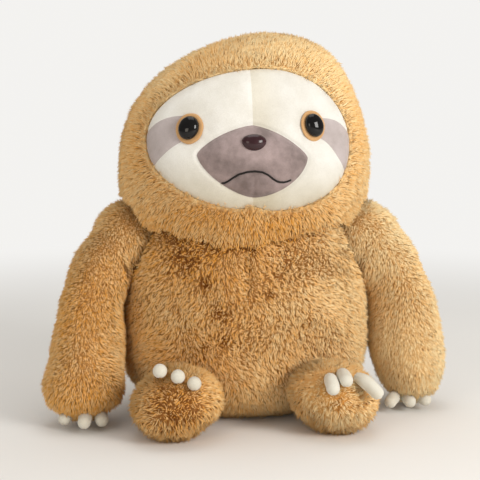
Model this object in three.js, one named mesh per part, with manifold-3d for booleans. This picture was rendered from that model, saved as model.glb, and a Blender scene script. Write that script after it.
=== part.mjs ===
// A large plush sloth that sits upright: a stuffed fur body and head, two long hanging arms,
// two short legs, a face pieced from velour, safety eyes and nose, and twelve stuffed claws.
// Millimetres. +Z is up, -Y is the toy's front, and "left" is the -X side, which is on the
// left of someone who looks at its face. The origin is on the floor, under the body.

import * as THREE from 'three';
import { mergeVertices } from 'three/addons/utils/BufferGeometryUtils.js';
import Module from 'manifold-3d';

const wasm = await Module();
wasm.setup();

// Cloth, seams and clearances
const furPile = 10; // the fur envelope stands this far out of its backing cloth
const backingCloth = 2;
const sewnGap = 0.4; // between two sewn pieces
const floorCut = 0.5; // how deep the floor flattens what rests on it
const swingGap = 0.9; // between the ball of a shoulder and its socket
const skinWall = furPile + backingCloth;

// Body
const bodyHalfWidth = 199;
const bodyFront = 152;
const bodyBack = 146;
const bodyWidestZ = 150;
const bodyTopZ = 400;
const bodyLowPower = 3.7; // a larger power makes a form boxier
const bodyHighPower = 2.7;
const bodyPlanPower = 2.15;
const neckRadius = 72; // the opening that joins the stuffing of body and head

// Head
const headHalfWidth = 206;
const headFront = 168;
const headBack = 176;
const headBottomZ = 262;
const headWidestZ = 392;
const headTopZ = 613;
const headLowPower = 3;
const headHighPower = 2.12;
const headPlanPower = 2.1;
const crownLean = 46; // the crown slumps this far towards +X
const crownLeanPower = 3.4; // a larger power keeps the slump nearer the top

// Face panel, sewn into the opening of the fur hood
const faceRecess = 6; // below the tips of the fur
const facePadding = 5; // velour and the batting behind it
const faceZ = 440;
const faceHalfWidth = 158;
const faceUp = 110;
const faceDown = 104;
const faceApexX = 26; // the panel's top and bottom both hang over towards +X
const faceChinX = 20;
const faceSeamX = -3; // the centre seam of the forehead and chin
const faceUpLeftPower = 2.15; // a larger power makes a quarter of an outline squarer
const faceUpRightPower = 1.8;
const faceLowPower = 2.15;
const faceMiddle = { x: faceSeamX, z: faceZ };

// Muzzle, a padded grey piece
const muzzleZ = 418;
const muzzleHalfWidth = 83;
const muzzleUp = 46;
const muzzleDown = 61;
const muzzleUpPower = 1.4;
const muzzleLowPower = 1.5;
const muzzleBulge = 13;
const muzzleBulgePower = 2.4;
const mouthThread = 1.3; // radius of the embroidered line
const mouthHalfWidth = 49;
const mouthZ = 381;
const mouthArch = 16;
const mouthArchWidth = 0.55; // as a share of the mouth's half width

// Grey band behind each eye
const bandInnerX = 96;
const bandTopZ = 477;
const bandBottomZ = 444;
const bandTopDrop = 22; // how far each edge falls on its way to the hood
const bandBottomDrop = 50;
const bandTopPower = 2.8; // a larger power keeps an edge level for longer
const bandBottomPower = 1.5;

// Eyes
const eyeSpacing = 185;
const eyeZ = 461;
const eyeRingRadius = 23.5;
const eyeRingThickness = 3;
const eyeRingSeat = 1.6; // how deep the ring is drawn into the padding
const eyeDomeWidth = 32.5;
const eyeDomeHeight = 36;
const eyeDomeRise = 13;
const eyeDomeTilt = 14; // degrees, each top leans towards the nose
const shankRadius = 3;
const shankLength = 24;
const washerRadius = 11;
const washerThickness = 2.4;
const shankFit = 0.4;
const washerSeat = 1.6; // the cloth behind an eye or the nose curves away from its flat washer

// Nose
const noseWidth = 36;
const noseHeight = 24;
const noseRise = 13;
const noseZ = 439;
const noseSeat = 2.2;
const noseShankLength = 34;
const noseTiltRoom = 1.6; // the nose points a little above the level of the muzzle's back

// Arms, measured from the shoulder, which turns about an axis along X
const shoulderX = 185;
const shoulderY = -10;
const shoulderZ = 282;
const shoulderRadius = 66;
const leftArmDrop = 290; // shoulder to the lowest point of the hand
const rightArmDrop = 277;
const leftSleeveOut = 0; // how far the top of the arm's sleeve stands outside the shoulder's middle
const rightSleeveOut = 12;
const upperArmHalfWidth = 52;
const leftForearmHalfWidth = 56;
const rightForearmHalfWidth = 64;
const leftHandHalfWidth = 66;
const rightHandHalfWidth = 59;
const armHalfDepth = 60;
const handHalfDepth = 66;
const leftHandRounding = 50; // how far up the hand its round end reaches
const rightHandRounding = 62;
const leftArmBow = 76; // how far the hand's middle stands outside the shoulder's
const rightArmBow = 90;
const armholeRadius = 34;
const leftArmSwing = 20; // degrees forward of hanging straight
const rightArmSwing = 5;

// Legs, which lie forward along the floor with the soles towards the front
const footX = 119;
const footHalfWidth = 73;
const footHeight = 113;
const footRoll = 12; // degrees, the outer edge is the higher one
const leftFootFrontY = -246;
const rightFootFrontY = -234;
const legRootY = -40;
const legHalfWidth = 60;
const legHeight = 92;
const legRounding = 40;
const footRounding = 66;

// Claws
const clawRadius = 11;
const clawTipRadius = 9.5;
const footClawLength = 44;
const handClawLength = 40;
const handClawCurl = [0, 0.05, -0.08];

// How finely the solids are faceted
const bodySides = 28;
const bodyRings = 15;
const coreSides = 18;
const coreRings = 9;
const limbSides = 16;
const limbRings = 12;
const limbCoreSides = 12;
const limbCoreRings = 8;
const ballSides = 24;
const ballRings = 10;
const buttonSides = 16;
const facePoints = 36;
const muzzlePoints = 28;

// Cloth and plastic
const fur = { color: 0xd0a067, roughness: 0.95 };
const creamVelour = { color: 0xf4eedc, roughness: 0.9 };
const greyVelour = { color: 0x9a8d92, roughness: 0.9 };
const clawCloth = { color: 0xf1ecdd, roughness: 0.8 };
const eyeBlack = { color: 0x0b0a0a, roughness: 0.08 };
const tanFelt = { color: 0xcf9a63, roughness: 0.9 };
const noseBrown = { color: 0x2c1c20, roughness: 0.18 };
const washerWhite = { color: 0xe8e8e4, roughness: 0.5 };
const blackThread = { color: 0x17120f, roughness: 0.7 };
const stuffing = { color: 0xf6f6f4, roughness: 1 };

// The two sides of the toy, which don't sit quite alike
const toySides = [
  {
    name: 'left',
    sign: -1,
    armDrop: leftArmDrop,
    armSwing: leftArmSwing,
    armBow: leftArmBow,
    sleeveOut: leftSleeveOut,
    forearmHalfWidth: leftForearmHalfWidth,
    handHalfWidth: leftHandHalfWidth,
    handRounding: leftHandRounding,
    footFrontY: leftFootFrontY,
  },
  {
    name: 'right',
    sign: 1,
    armDrop: rightArmDrop,
    armSwing: rightArmSwing,
    armBow: rightArmBow,
    sleeveOut: rightSleeveOut,
    forearmHalfWidth: rightForearmHalfWidth,
    handHalfWidth: rightHandHalfWidth,
    handRounding: rightHandRounding,
    footFrontY: rightFootFrontY,
  },
];
const farOut = 600; // past every surface of the toy
const shankReach = 60; // past both ends of every shank

const toy = new THREE.Group();

function addPiece(name, solid, finish, parent = toy) {
  const material = new THREE.MeshStandardMaterial({ ...finish, metalness: 0 });
  const mesh = new THREE.Mesh(toGeometry(solid), material);
  mesh.name = name;
  parent.add(mesh);
}

// Closed geometry to a solid that can be joined and cut, and back
function toSolid(geometry) {
  geometry.deleteAttribute('normal');
  geometry.deleteAttribute('uv');
  const merged = mergeVertices(geometry);
  return new wasm.Manifold(new wasm.Mesh({
    numProp: 3,
    vertProperties: new Float32Array(merged.attributes.position.array),
    triVerts: new Uint32Array(merged.index.array),
  }));
}

function toGeometry(solid) {
  const { vertProperties, triVerts } = solid.getMesh();
  const geometry = new THREE.BufferGeometry();
  geometry.setAttribute('position', new THREE.BufferAttribute(new Float32Array(vertProperties), 3));
  geometry.setIndex(new THREE.BufferAttribute(new Uint32Array(triVerts), 1));
  geometry.computeVertexNormals();
  return geometry;
}

// A closed form through rings of points, which run anticlockwise about the way from start to end
function closedForm(start, rings, end) {
  const sides = rings[0].length;
  const points = [start, ...rings.flat(), end];
  const at = (ring, side) => 1 + ring * sides + (side % sides);
  const faces = [];
  for (let side = 0; side < sides; side += 1) {
    faces.push(0, at(0, side + 1), at(0, side));
    for (let ring = 0; ring < rings.length - 1; ring += 1) {
      faces.push(at(ring, side), at(ring, side + 1), at(ring + 1, side + 1));
      faces.push(at(ring, side), at(ring + 1, side + 1), at(ring + 1, side));
    }
    faces.push(points.length - 1, at(rings.length - 1, side), at(rings.length - 1, side + 1));
  }
  const geometry = new THREE.BufferGeometry().setFromPoints(points);
  geometry.setIndex(faces);
  return toSolid(geometry);
}

const signedPower = (value, power) => Math.sign(value) * Math.abs(value) ** power;

// An upright stuffed form, which swells to its widest height and tapers above and below it.
// Pressed smaller by an inset, the same form is the inside of its skin, or its filling.
class UprightForm {
  constructor(sizes, inset = 0) {
    this.sizes = sizes;
    this.inset = inset;
    this.low = sizes.bottom + inset;
    this.high = sizes.top - inset;
    this.halfWidth = sizes.halfWidth - inset;
    this.front = sizes.front - inset;
    this.back = sizes.back - inset;
  }

  pressedIn(inset) {
    return new UprightForm(this.sizes, this.inset + inset);
  }

  fullnessAt(z) {
    const { widest, lowPower, highPower } = this.sizes;
    const power = z < widest ? lowPower : highPower;
    const reach = z < widest ? widest - this.low : this.high - widest;
    const share = Math.min(Math.abs(z - widest) / reach, 1);
    return (1 - share ** power) ** (1 / power);
  }

  middleAt(z) {
    const rise = Math.max(z - this.sizes.widest, 0) / (this.sizes.top - this.sizes.widest);
    return this.sizes.lean * rise ** crownLeanPower;
  }

  // The front surface over a point of the XZ plane
  frontAt(x, z) {
    const fullness = this.fullnessAt(z);
    const across = Math.abs(x - this.middleAt(z)) / (this.halfWidth * fullness);
    const power = this.sizes.planPower;
    return -this.front * fullness * (1 - Math.min(across, 1) ** power) ** (1 / power);
  }

  solid(sides, ringCount) {
    const rings = [];
    for (let ring = 1; ring < ringCount; ring += 1) {
      const z = this.low + (this.high - this.low) * (1 - Math.cos(Math.PI * ring / ringCount)) / 2;
      const fullness = this.fullnessAt(z);
      const points = [];
      for (let side = 0; side < sides; side += 1) {
        const angle = 2 * Math.PI * side / sides;
        const x = signedPower(Math.cos(angle), 2 / this.sizes.planPower);
        const y = signedPower(Math.sin(angle), 2 / this.sizes.planPower);
        const depth = y < 0 ? this.front : this.back;
        const middle = this.middleAt(z);
        points.push(new THREE.Vector3(middle + x * this.halfWidth * fullness, y * depth * fullness, z));
      }
      rings.push(points);
    }
    const pole = (z) => new THREE.Vector3(this.middleAt(z), 0, z);
    return closedForm(pole(this.low), rings, pole(this.high));
  }
}

// A limb along a curve. Each station is a place with its half width (along X) and the reach of
// its section to either side of the curve, and both ends are rounded off.
function limbForm({ stations, roundStart, roundEnd, sides, ringCount, inset = 0, roll = 0 }) {
  const path = new THREE.CatmullRomCurve3(stations.map(({ at }) => new THREE.Vector3(...at)));
  const sizes = new THREE.CatmullRomCurve3(
    stations.map(({ wide, below, above }) => new THREE.Vector3(wide, below, above)),
  );
  const length = path.getLength();
  const placeAt = (distance) => path.getUtoTmapping(THREE.MathUtils.clamp(distance / length, 0, 1));
  // A form that is grown instead of pressed in runs straight on past both ends of its curve
  const centreAt = (distance) => {
    const t = placeAt(distance);
    const past = Math.min(distance, 0) + Math.max(distance - length, 0);
    return path.getPoint(t).addScaledVector(path.getTangent(t), past);
  };
  const rounding = (left, reach) => {
    const share = Math.max(1 - left / (reach - inset), 0);
    return Math.sqrt(Math.max(1 - share * share, 0));
  };
  const rings = [];
  const run = length - 2 * inset;
  for (let ring = 1; ring < ringCount; ring += 1) {
    const distance = run * (1 - Math.cos(Math.PI * ring / ringCount)) / 2;
    const t = placeAt(distance + inset);
    const centre = centreAt(distance + inset);
    const along = path.getTangent(t);
    const side = new THREE.Vector3(1, 0, 0).addScaledVector(along, -along.x).normalize()
      .applyAxisAngle(along, THREE.MathUtils.degToRad(roll));
    const over = along.clone().cross(side);
    const { x: wide, y: below, z: above } = sizes.getPoint(t);
    const rounded = rounding(distance, roundStart) * rounding(run - distance, roundEnd);
    const points = [];
    for (let step = 0; step < sides; step += 1) {
      const angle = 2 * Math.PI * step / sides;
      const reach = Math.sin(angle) < 0 ? below : above;
      points.push(centre.clone()
        .addScaledVector(side, Math.cos(angle) * (wide - inset) * rounded)
        .addScaledVector(over, Math.sin(angle) * (reach - inset) * rounded));
    }
    rings.push(points);
  }
  return closedForm(centreAt(inset), rings, centreAt(length - inset));
}

function boxBetween([x0, y0, z0], [x1, y1, z1]) {
  const box = new THREE.BoxGeometry(x1 - x0, y1 - y0, z1 - z0);
  return toSolid(box.translate((x0 + x1) / 2, (y0 + y1) / 2, (z0 + z1) / 2));
}

// A solid turned about +Z from its profile of radii and heights
function turned(profile, sides = buttonSides) {
  const points = profile.map(([radius, height]) => new THREE.Vector2(radius, height));
  return toSolid(new THREE.LatheGeometry(points, sides).rotateX(Math.PI / 2));
}

const rod = (radius, from, to, sides = buttonSides) => (
  turned([[0, from], [radius, from], [radius, to], [0, to]], sides)
);

// An outline in the XZ plane, made of four quarters that each have their own reach and fullness
function quarteredOutline(sizes, grow, count) {
  const { x, z, left, right, up, down, upLeft, upRight, low, apexX = 0, chinX = 0 } = sizes;
  const points = [];
  for (let step = 0; step < count; step += 1) {
    const angle = 2 * Math.PI * step / count;
    const [c, s] = [Math.cos(angle), Math.sin(angle)];
    const quarter = c < 0 ? upLeft : upRight;
    const power = s < 0 ? low : quarter;
    const rise = signedPower(s, 2 / power);
    const across = signedPower(c, 2 / power) * ((c < 0 ? left : right) + grow);
    const apex = (s > 0 ? apexX : chinX) * rise * rise;
    points.push(new THREE.Vector2(x + apex + across, z + rise * ((s < 0 ? down : up) + grow)));
  }
  return points;
}

// The outline as a prism that runs from the front of everything back to y
function prismTo(y, outline) {
  const shape = new THREE.Shape(outline.map((p) => new THREE.Vector2(p.x, p.y)));
  const prism = new THREE.ExtrudeGeometry(shape, { depth: farOut, bevelEnabled: false });
  return toSolid(prism.rotateX(Math.PI / 2).translate(0, y, 0));
}

// A cloth panel between two surfaces that are given over the XZ plane
function panelBetween(outline, middle, frontAt, backAt, ringCount) {
  const shares = Array.from({ length: ringCount }, (_, ring) => (ring + 1) / ringCount);
  const ringOn = (surface, share) => outline.map((p) => {
    const x = middle.x + (p.x - middle.x) * share;
    const z = middle.z + (p.y - middle.z) * share;
    return new THREE.Vector3(x, surface(x, z, share), z);
  });
  const front = shares.map((share) => ringOn(frontAt, share));
  const back = shares.map((share) => ringOn(backAt, share)).reverse();
  const pole = (surface) => new THREE.Vector3(middle.x, surface(middle.x, middle.z, 0), middle.z);
  const rings = [...front, ...back].map((ring) => [...ring].reverse());
  return closedForm(pole(frontAt), rings, pole(backAt));
}

// Body, cut flat by the floor and hollowed by the shoulders
const bodyForm = new UprightForm({
  bottom: -floorCut,
  widest: bodyWidestZ,
  top: bodyTopZ,
  halfWidth: bodyHalfWidth,
  front: bodyFront,
  back: bodyBack,
  lowPower: bodyLowPower,
  highPower: bodyHighPower,
  planPower: bodyPlanPower,
  lean: 0,
});
const floorBlock = boxBetween([-farOut, -farOut, -farOut], [farOut, farOut, 0]);

function shoulderBall(radius) {
  const ball = new THREE.SphereGeometry(radius, ballSides, ballRings).rotateZ(Math.PI / 2);
  return toSolid(ball);
}

// Outside the ball of the shoulder the arm stays clear of the body's side, so that it swings freely,
// and the head is pressed in where it would rub against the turning shoulder
const bodySide = bodyHalfWidth + sewnGap - shoulderX;
const socketRadius = shoulderRadius + swingGap;
const shoulderAt = (sign) => [sign * shoulderX, shoulderY, shoulderZ];
const sockets = toySides.map(({ sign }) => (
  shoulderBall(socketRadius)
    .add(rod(socketRadius, bodySide - sewnGap / 2, shoulderX, ballSides).rotate([0, 90 * sign, 0]))
    .translate(shoulderAt(sign))
));
const withoutSockets = (solid) => sockets.reduce((rest, socket) => rest.subtract(socket), solid);

const bodySolid = bodyForm.solid(bodySides, bodyRings);
const neck = (radius) => rod(radius, bodyWidestZ, bodyTopZ + skinWall);
const bodySkin = withoutSockets(bodySolid.subtract(floorBlock))
  .subtract(bodyForm.pressedIn(skinWall).solid(coreSides, coreRings))
  .subtract(neck(neckRadius));
const bodyCore = withoutSockets(
  bodyForm.pressedIn(skinWall + sewnGap).solid(coreSides, coreRings)
    .add(neck(neckRadius - sewnGap).intersect(bodySolid)),
);
addPiece('body_skin', bodySkin, fur);
addPiece('body_filling', bodyCore, stuffing);

// Head, pressed onto the body and open at the face
const headForm = new UprightForm({
  bottom: headBottomZ,
  widest: headWidestZ,
  top: headTopZ,
  halfWidth: headHalfWidth,
  front: headFront,
  back: headBack,
  lowPower: headLowPower,
  highPower: headHighPower,
  planPower: headPlanPower,
  lean: crownLean,
});
const bodyGrown = bodyForm.pressedIn(-sewnGap).solid(bodySides, bodyRings);
const ontoBody = (solid) => withoutSockets(solid.subtract(bodyGrown));

const faceSizes = {
  ...faceMiddle,
  left: faceHalfWidth,
  right: faceHalfWidth,
  up: faceUp,
  down: faceDown,
  upLeft: faceUpLeftPower,
  upRight: faceUpRightPower,
  low: faceLowPower,
  apexX: faceApexX,
  chinX: faceChinX,
};
const faceOpening = prismTo(0, quarteredOutline(faceSizes, sewnGap, facePoints));

const headHollow = headForm.pressedIn(skinWall).solid(coreSides, coreRings);
const headSkin = ontoBody(headForm.solid(bodySides, bodyRings).subtract(headHollow))
  .subtract(faceOpening);
addPiece('head_skin', headSkin, fur);

// Face: two cream halves, a grey band behind each eye, and the muzzle, sewn edge to edge
const faceFront = headForm.pressedIn(faceRecess);
const faceBack = headForm.pressedIn(faceRecess + facePadding);
const faceSlab = panelBetween(
  quarteredOutline(faceSizes, 0, facePoints),
  faceMiddle,
  (x, z) => faceFront.frontAt(x, z),
  (x, z) => faceBack.frontAt(x, z),
  5,
);

const muzzleSizes = {
  x: faceSeamX,
  z: muzzleZ,
  left: muzzleHalfWidth,
  right: muzzleHalfWidth,
  up: muzzleUp,
  down: muzzleDown,
  upLeft: muzzleUpPower,
  upRight: muzzleUpPower,
  low: muzzleLowPower,
};
const muzzleMiddle = { x: muzzleSizes.x, z: muzzleZ };
const muzzleSwell = (share) => muzzleBulge * (1 - share ** muzzleBulgePower);

// How far out a point of the muzzle lies, from 0 at its middle to 1 at its seam
function muzzleShare(x, z) {
  const power = z > muzzleZ ? muzzleUpPower : muzzleLowPower;
  const across = Math.abs(x - muzzleMiddle.x) / muzzleHalfWidth;
  const rise = Math.abs(z - muzzleZ) / (z > muzzleZ ? muzzleUp : muzzleDown);
  return Math.min((across ** power + rise ** power) ** (1 / power), 1);
}

const muzzleFrontAt = (x, z) => faceFront.frontAt(x, z) - muzzleSwell(muzzleShare(x, z));
const muzzle = panelBetween(
  quarteredOutline(muzzleSizes, 0, muzzlePoints),
  muzzleMiddle,
  (x, z, share) => faceFront.frontAt(x, z) - muzzleSwell(share),
  (x, z) => faceBack.frontAt(x, z),
  4,
);
const muzzleSeam = prismTo(0, quarteredOutline(muzzleSizes, sewnGap, muzzlePoints));

// A band bends down on its way out, and its outline runs on past the edge of the face
function bandOutline(sign, grow) {
  const run = faceHalfWidth - bandInnerX;
  const edge = (z, drop, power, share) => [bandInnerX + share * run, z - drop * share ** power];
  const top = [1.25, 1, 0.75, 0.5, 0].map((share) => (
    edge(bandTopZ + grow, bandTopDrop, bandTopPower, share)
  ));
  const bottom = [0, 0.25, 0.5, 0.8, 1.25].map((share) => (
    edge(bandBottomZ - grow, bandBottomDrop, bandBottomPower, share)
  ));
  const outline = [...top, [bandInnerX - grow, bandTopZ], [bandInnerX - grow, bandBottomZ], ...bottom];
  const points = outline.map(([x, z]) => new THREE.Vector2(sign * x, z));
  return sign < 0 ? points.reverse() : points;
}

// Eyes, nose and their shanks, each in its own frame with +Z out of the face
function outward(surface, x, z) {
  const step = 6; // the slope is read this far to each side
  const slopeX = (surface(x + step, z) - surface(x - step, z)) / (2 * step);
  const slopeZ = (surface(x, z + step) - surface(x, z - step)) / (2 * step);
  return new THREE.Vector3(slopeX, -1, slopeZ).normalize();
}

function seatOn(surface, x, z) {
  const way = outward(surface, x, z);
  const turn = new THREE.Quaternion().setFromUnitVectors(new THREE.Vector3(0, 0, 1), way);
  const up = new THREE.Vector3(0, 1, 0).applyQuaternion(turn);
  const level = new THREE.Vector3(0, 0, 1).addScaledVector(way, -way.z).normalize();
  const spin = up.angleTo(level) * Math.sign(up.clone().cross(level).dot(way));
  turn.premultiply(new THREE.Quaternion().setFromAxisAngle(way, spin));
  const place = new THREE.Vector3(x, surface(x, z), z);
  return new THREE.Matrix4().compose(place, turn, new THREE.Vector3(1, 1, 1));
}

const placed = (solid, matrix) => solid.transform(matrix.elements);

// A domed button with its shank: an oval of the given width and height, turned by a tilt
function buttonSolid({ width, height, rise, base, tilt, shank }) {
  const profile = [[0, base], [1, base]];
  const steps = 6;
  for (let step = 0; step < steps; step += 1) {
    const angle = Math.PI / 2 * step / steps;
    profile.push([Math.cos(angle) ** 0.85, base + 1 + (rise - 1) * Math.sin(angle)]);
  }
  profile.push([0, base + rise]);
  const dome = turned(profile).scale([width / 2, height / 2, 1]).rotate([0, 0, tilt]);
  return dome.add(rod(shankRadius, -shank, base + 1));
}

const washer = (top) => turned([
  [shankRadius + shankFit, top - washerThickness],
  [washerRadius - 1, top - washerThickness],
  [washerRadius, top - washerThickness / 2],
  [washerRadius - 1, top],
  [shankRadius + shankFit, top],
  [shankRadius + shankFit, top - washerThickness],
]);

const shankHole = rod(shankRadius + shankFit, -shankReach, shankReach);
const faceSurface = (x, z) => faceFront.frontAt(x, z);
const eyeSeats = toySides.map(({ sign }) => (
  seatOn(faceSurface, faceSeamX + sign * eyeSpacing / 2, eyeZ)
));
const ringPocket = rod(eyeRingRadius + sewnGap, -eyeRingSeat - sewnGap, shankReach);
const noseSeatPlace = seatOn(muzzleFrontAt, faceSeamX, noseZ);
const nosePocket = rod(1, -noseSeat - sewnGap, shankReach).scale([
  noseWidth / 2 + sewnGap, noseHeight / 2 + sewnGap, 1,
]);

let facePieces = faceSlab.subtract(muzzleSeam).subtract(headHollow);
eyeSeats.forEach((seat) => {
  facePieces = facePieces.subtract(placed(ringPocket.add(shankHole), seat));
});
toySides.forEach(({ name, sign }) => {
  const inner = faceSeamX + sign * sewnGap / 2;
  const half = sign < 0
    ? boxBetween([-farOut, -farOut, 0], [inner, 0, farOut])
    : boxBetween([inner, -farOut, 0], [farOut, 0, farOut]);
  const cream = facePieces.intersect(half).subtract(prismTo(0, bandOutline(sign, sewnGap)));
  addPiece(`face_cream_${name}`, cream, creamVelour);
  addPiece(`eye_band_${name}`, facePieces.intersect(prismTo(0, bandOutline(sign, 0))), greyVelour);
});
addPiece('muzzle', muzzle.subtract(placed(nosePocket.add(shankHole), noseSeatPlace)), greyVelour);

const washerTop = -(facePadding + washerSeat);
toySides.forEach(({ name, sign }, index) => {
  const seat = eyeSeats[index];
  const ringTop = eyeRingThickness - eyeRingSeat;
  const ring = turned([
    [shankRadius + shankFit, -eyeRingSeat],
    [eyeRingRadius, -eyeRingSeat],
    [eyeRingRadius, ringTop - 0.8],
    [eyeRingRadius - 1.2, ringTop],
    [shankRadius + shankFit, ringTop],
    [shankRadius + shankFit, -eyeRingSeat],
  ]);
  const dome = buttonSolid({
    width: eyeDomeWidth,
    height: eyeDomeHeight,
    rise: eyeDomeRise,
    base: ringTop + sewnGap,
    tilt: sign * eyeDomeTilt,
    shank: shankLength,
  });
  addPiece(`eye_ring_${name}`, placed(ring, seat), tanFelt);
  addPiece(`eye_${name}`, placed(dome, seat), eyeBlack);
  addPiece(`eye_washer_${name}`, placed(washer(washerTop), seat), washerWhite);
});

const noseWasherTop = washerTop - noseTiltRoom - muzzleSwell(muzzleShare(faceSeamX, noseZ));
const nose = buttonSolid({
  width: noseWidth,
  height: noseHeight,
  rise: noseRise,
  base: -noseSeat,
  tilt: 0,
  shank: noseShankLength,
});
addPiece('nose', placed(nose, noseSeatPlace), noseBrown);
addPiece('nose_washer', placed(washer(noseWasherTop), noseSeatPlace), washerWhite);

// Mouth: one embroidered line that arches in the middle and levels out at its ends
const mouthPoints = Array.from({ length: 9 }, (_, step) => {
  const share = step / 4 - 1;
  const x = faceSeamX + share * mouthHalfWidth;
  const z = mouthZ + mouthArch * Math.exp(-((share / mouthArchWidth) ** 2));
  return { at: [x, muzzleFrontAt(x, z) - mouthThread - sewnGap, z] };
});
const mouth = limbForm({
  stations: mouthPoints.map((point) => (
    { ...point, wide: mouthThread, below: mouthThread, above: mouthThread }
  )),
  roundStart: 2,
  roundEnd: 2,
  sides: 6,
  ringCount: 24,
});
addPiece('mouth_stitch', mouth, blackThread);

// The head's filling has a hollow for each shank and its washer
const washerPocket = rod(washerRadius + 1, -shankReach, 0);
const headCore = [...eyeSeats, noseSeatPlace].reduce(
  (core, seat) => core.subtract(placed(washerPocket, seat)),
  ontoBody(headForm.pressedIn(skinWall + sewnGap).solid(coreSides, coreRings)),
);
addPiece('head_filling', headCore, stuffing);

// Arms, each about its own shoulder. A station is given by how far out it stands and by its share
// of the drop.
function armStations({ sign, armDrop, armBow, sleeveOut, forearmHalfWidth, handHalfWidth }) {
  const station = (out, y, downShare, wide, deep) => ({
    at: [sign * out, y, -armDrop * downShare],
    wide,
    below: deep,
    above: deep,
  });
  const elbowHalfWidth = (upperArmHalfWidth + forearmHalfWidth) / 2;
  return [
    station(0, 0, -shoulderRadius / armDrop, shoulderRadius, shoulderRadius),
    station(sleeveOut, 0, 0, shoulderRadius, shoulderRadius),
    station(0.72 * armBow, -2, 0.22, upperArmHalfWidth, armHalfDepth),
    station(0.84 * armBow, -4, 0.4, elbowHalfWidth, armHalfDepth),
    station(0.91 * armBow, -6, 0.6, forearmHalfWidth, armHalfDepth),
    station(armBow, -8, 0.82, handHalfWidth, handHalfDepth),
    station(armBow, -8, 1, handHalfWidth, handHalfDepth),
  ];
}

function armSolid(side, inset, sideCount, ringCount) {
  const limb = limbForm({
    stations: armStations(side),
    roundStart: shoulderRadius,
    roundEnd: side.handRounding,
    sides: sideCount,
    ringCount,
    inset,
  });
  const nearest = side.sign * (bodySide + inset);
  const bodyRegion = side.sign < 0
    ? boxBetween([nearest, -farOut, -farOut], [farOut, farOut, farOut])
    : boxBetween([-farOut, -farOut, -farOut], [nearest, farOut, farOut]);
  return limb.subtract(bodyRegion).add(shoulderBall(shoulderRadius - inset));
}

const armhole = (sign, radius) => (
  rod(radius, 0, shoulderRadius + swingGap).rotate([0, -90 * sign, 0])
);

// A stuffed claw: a curved tube with a round tip, cut off where it is sewn to the fur
function clawForm({ root, way, curl, length }) {
  const start = new THREE.Vector3(...root);
  const heading = new THREE.Vector3(...way).normalize();
  const bend = new THREE.Vector3(...curl);
  const stations = [0, 0.33, 0.66, 1].map((share) => {
    const at = start.clone()
      .addScaledVector(heading, share * length)
      .addScaledVector(bend, share * share * length);
    const radius = THREE.MathUtils.lerp(clawRadius, clawTipRadius, share);
    return { at: at.toArray(), wide: radius, below: radius, above: radius };
  });
  return limbForm({ stations, roundStart: 4, roundEnd: clawTipRadius, sides: 10, ringCount: 8 });
}

// Where each hand claw is sewn on under the hand: out from the shoulder, forward of it, and up from
// the hand's lowest point. Its way is in the arm's own frame.
const handClawRoots = {
  left: [[51, 0, 15], [71, -13, 11], [94, 9, 19]],
  right: [[61, -23, 16], [77, -17, 16], [94, -13, 17]],
};
const handClawWays = {
  left: [[0.15, -0.87, -0.47], [-0.05, -0.89, -0.45], [-0.31, -0.84, -0.44]],
  right: [[-0.52, -0.83, -0.2], [0.05, -0.97, -0.22], [0.4, -0.89, -0.22]],
};

toySides.forEach((side) => {
  const { name, sign, armDrop, armSwing } = side;
  const arm = new THREE.Group();
  arm.position.set(...shoulderAt(sign));
  arm.rotation.x = -THREE.MathUtils.degToRad(armSwing);
  toy.add(arm);
  const skin = armSolid(side, 0, limbSides, limbRings)
    .subtract(armSolid(side, skinWall, limbCoreSides, limbCoreRings))
    .subtract(armhole(sign, armholeRadius));
  const core = armSolid(side, skinWall + sewnGap, limbCoreSides, limbCoreRings)
    .add(armhole(sign, armholeRadius - sewnGap).intersect(shoulderBall(shoulderRadius)));
  addPiece(`arm_skin_${name}`, skin, fur, arm);
  addPiece(`arm_filling_${name}`, core, stuffing, arm);

  const armGrown = armSolid(side, -sewnGap, limbSides, limbRings);
  ['inner', 'middle', 'outer'].forEach((finger, index) => {
    const [out, y, rise] = handClawRoots[name][index];
    const claw = clawForm({
      root: [sign * out, y, rise - armDrop],
      way: handClawWays[name][index],
      curl: handClawCurl,
      length: handClawLength,
    });
    addPiece(`hand_claw_${name}_${finger}`, claw.subtract(armGrown), clawCloth, arm);
  });
});

// Legs, cut by the body that they are sewn to and flat on the floor
function legSolid({ sign, footFrontY }, inset, sideCount, ringCount) {
  const station = (along, middle, wide, high) => ({
    at: [sign * middle, legRootY + (footFrontY - legRootY) * along, high / 2 - floorCut],
    wide,
    below: high / 2,
    above: high / 2,
  });
  return limbForm({
    stations: [
      station(0, footX - 20, legHalfWidth, legHeight),
      station(1 / 3, footX - 8, legHalfWidth + 4, legHeight + 6),
      station(2 / 3, footX, footHalfWidth, footHeight),
      station(1, footX + 1, footHalfWidth, footHeight - 6),
    ],
    roundStart: legRounding,
    roundEnd: footRounding,
    sides: sideCount,
    ringCount,
    inset,
    roll: sign * -footRoll,
  });
}

// Where each foot claw points, as the toy sits: the left ones up to the front, the right ones fanned
const footClawWays = {
  left: [[-0.05, -0.95, 0.29], [-0.03, -0.95, 0.29], [-0.02, -0.95, 0.29]],
  right: [[-0.02, -0.9, 0.1], [0, -1, 0.05], [0.45, -0.9, 0.1]],
};
const footClawCurls = {
  left: [[0, 0, -0.05], [0, 0, -0.05], [0, 0, -0.05]],
  right: [[0, 0.1, -0.42], [0, 0, -0.15], [0.2, 0.1, -0.6]],
};
// Where each is sewn on: out from the foot's middle, back from its front, and up from the floor
const footClawRoots = {
  left: [[25, 48, 87], [1, 44, 99], [-25, 44, 108]],
  right: [[-14, 25, 93], [6, 34, 98], [28, 27, 92]],
};

const sewnOn = (solid) => solid.subtract(bodyGrown).subtract(floorBlock);

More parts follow.
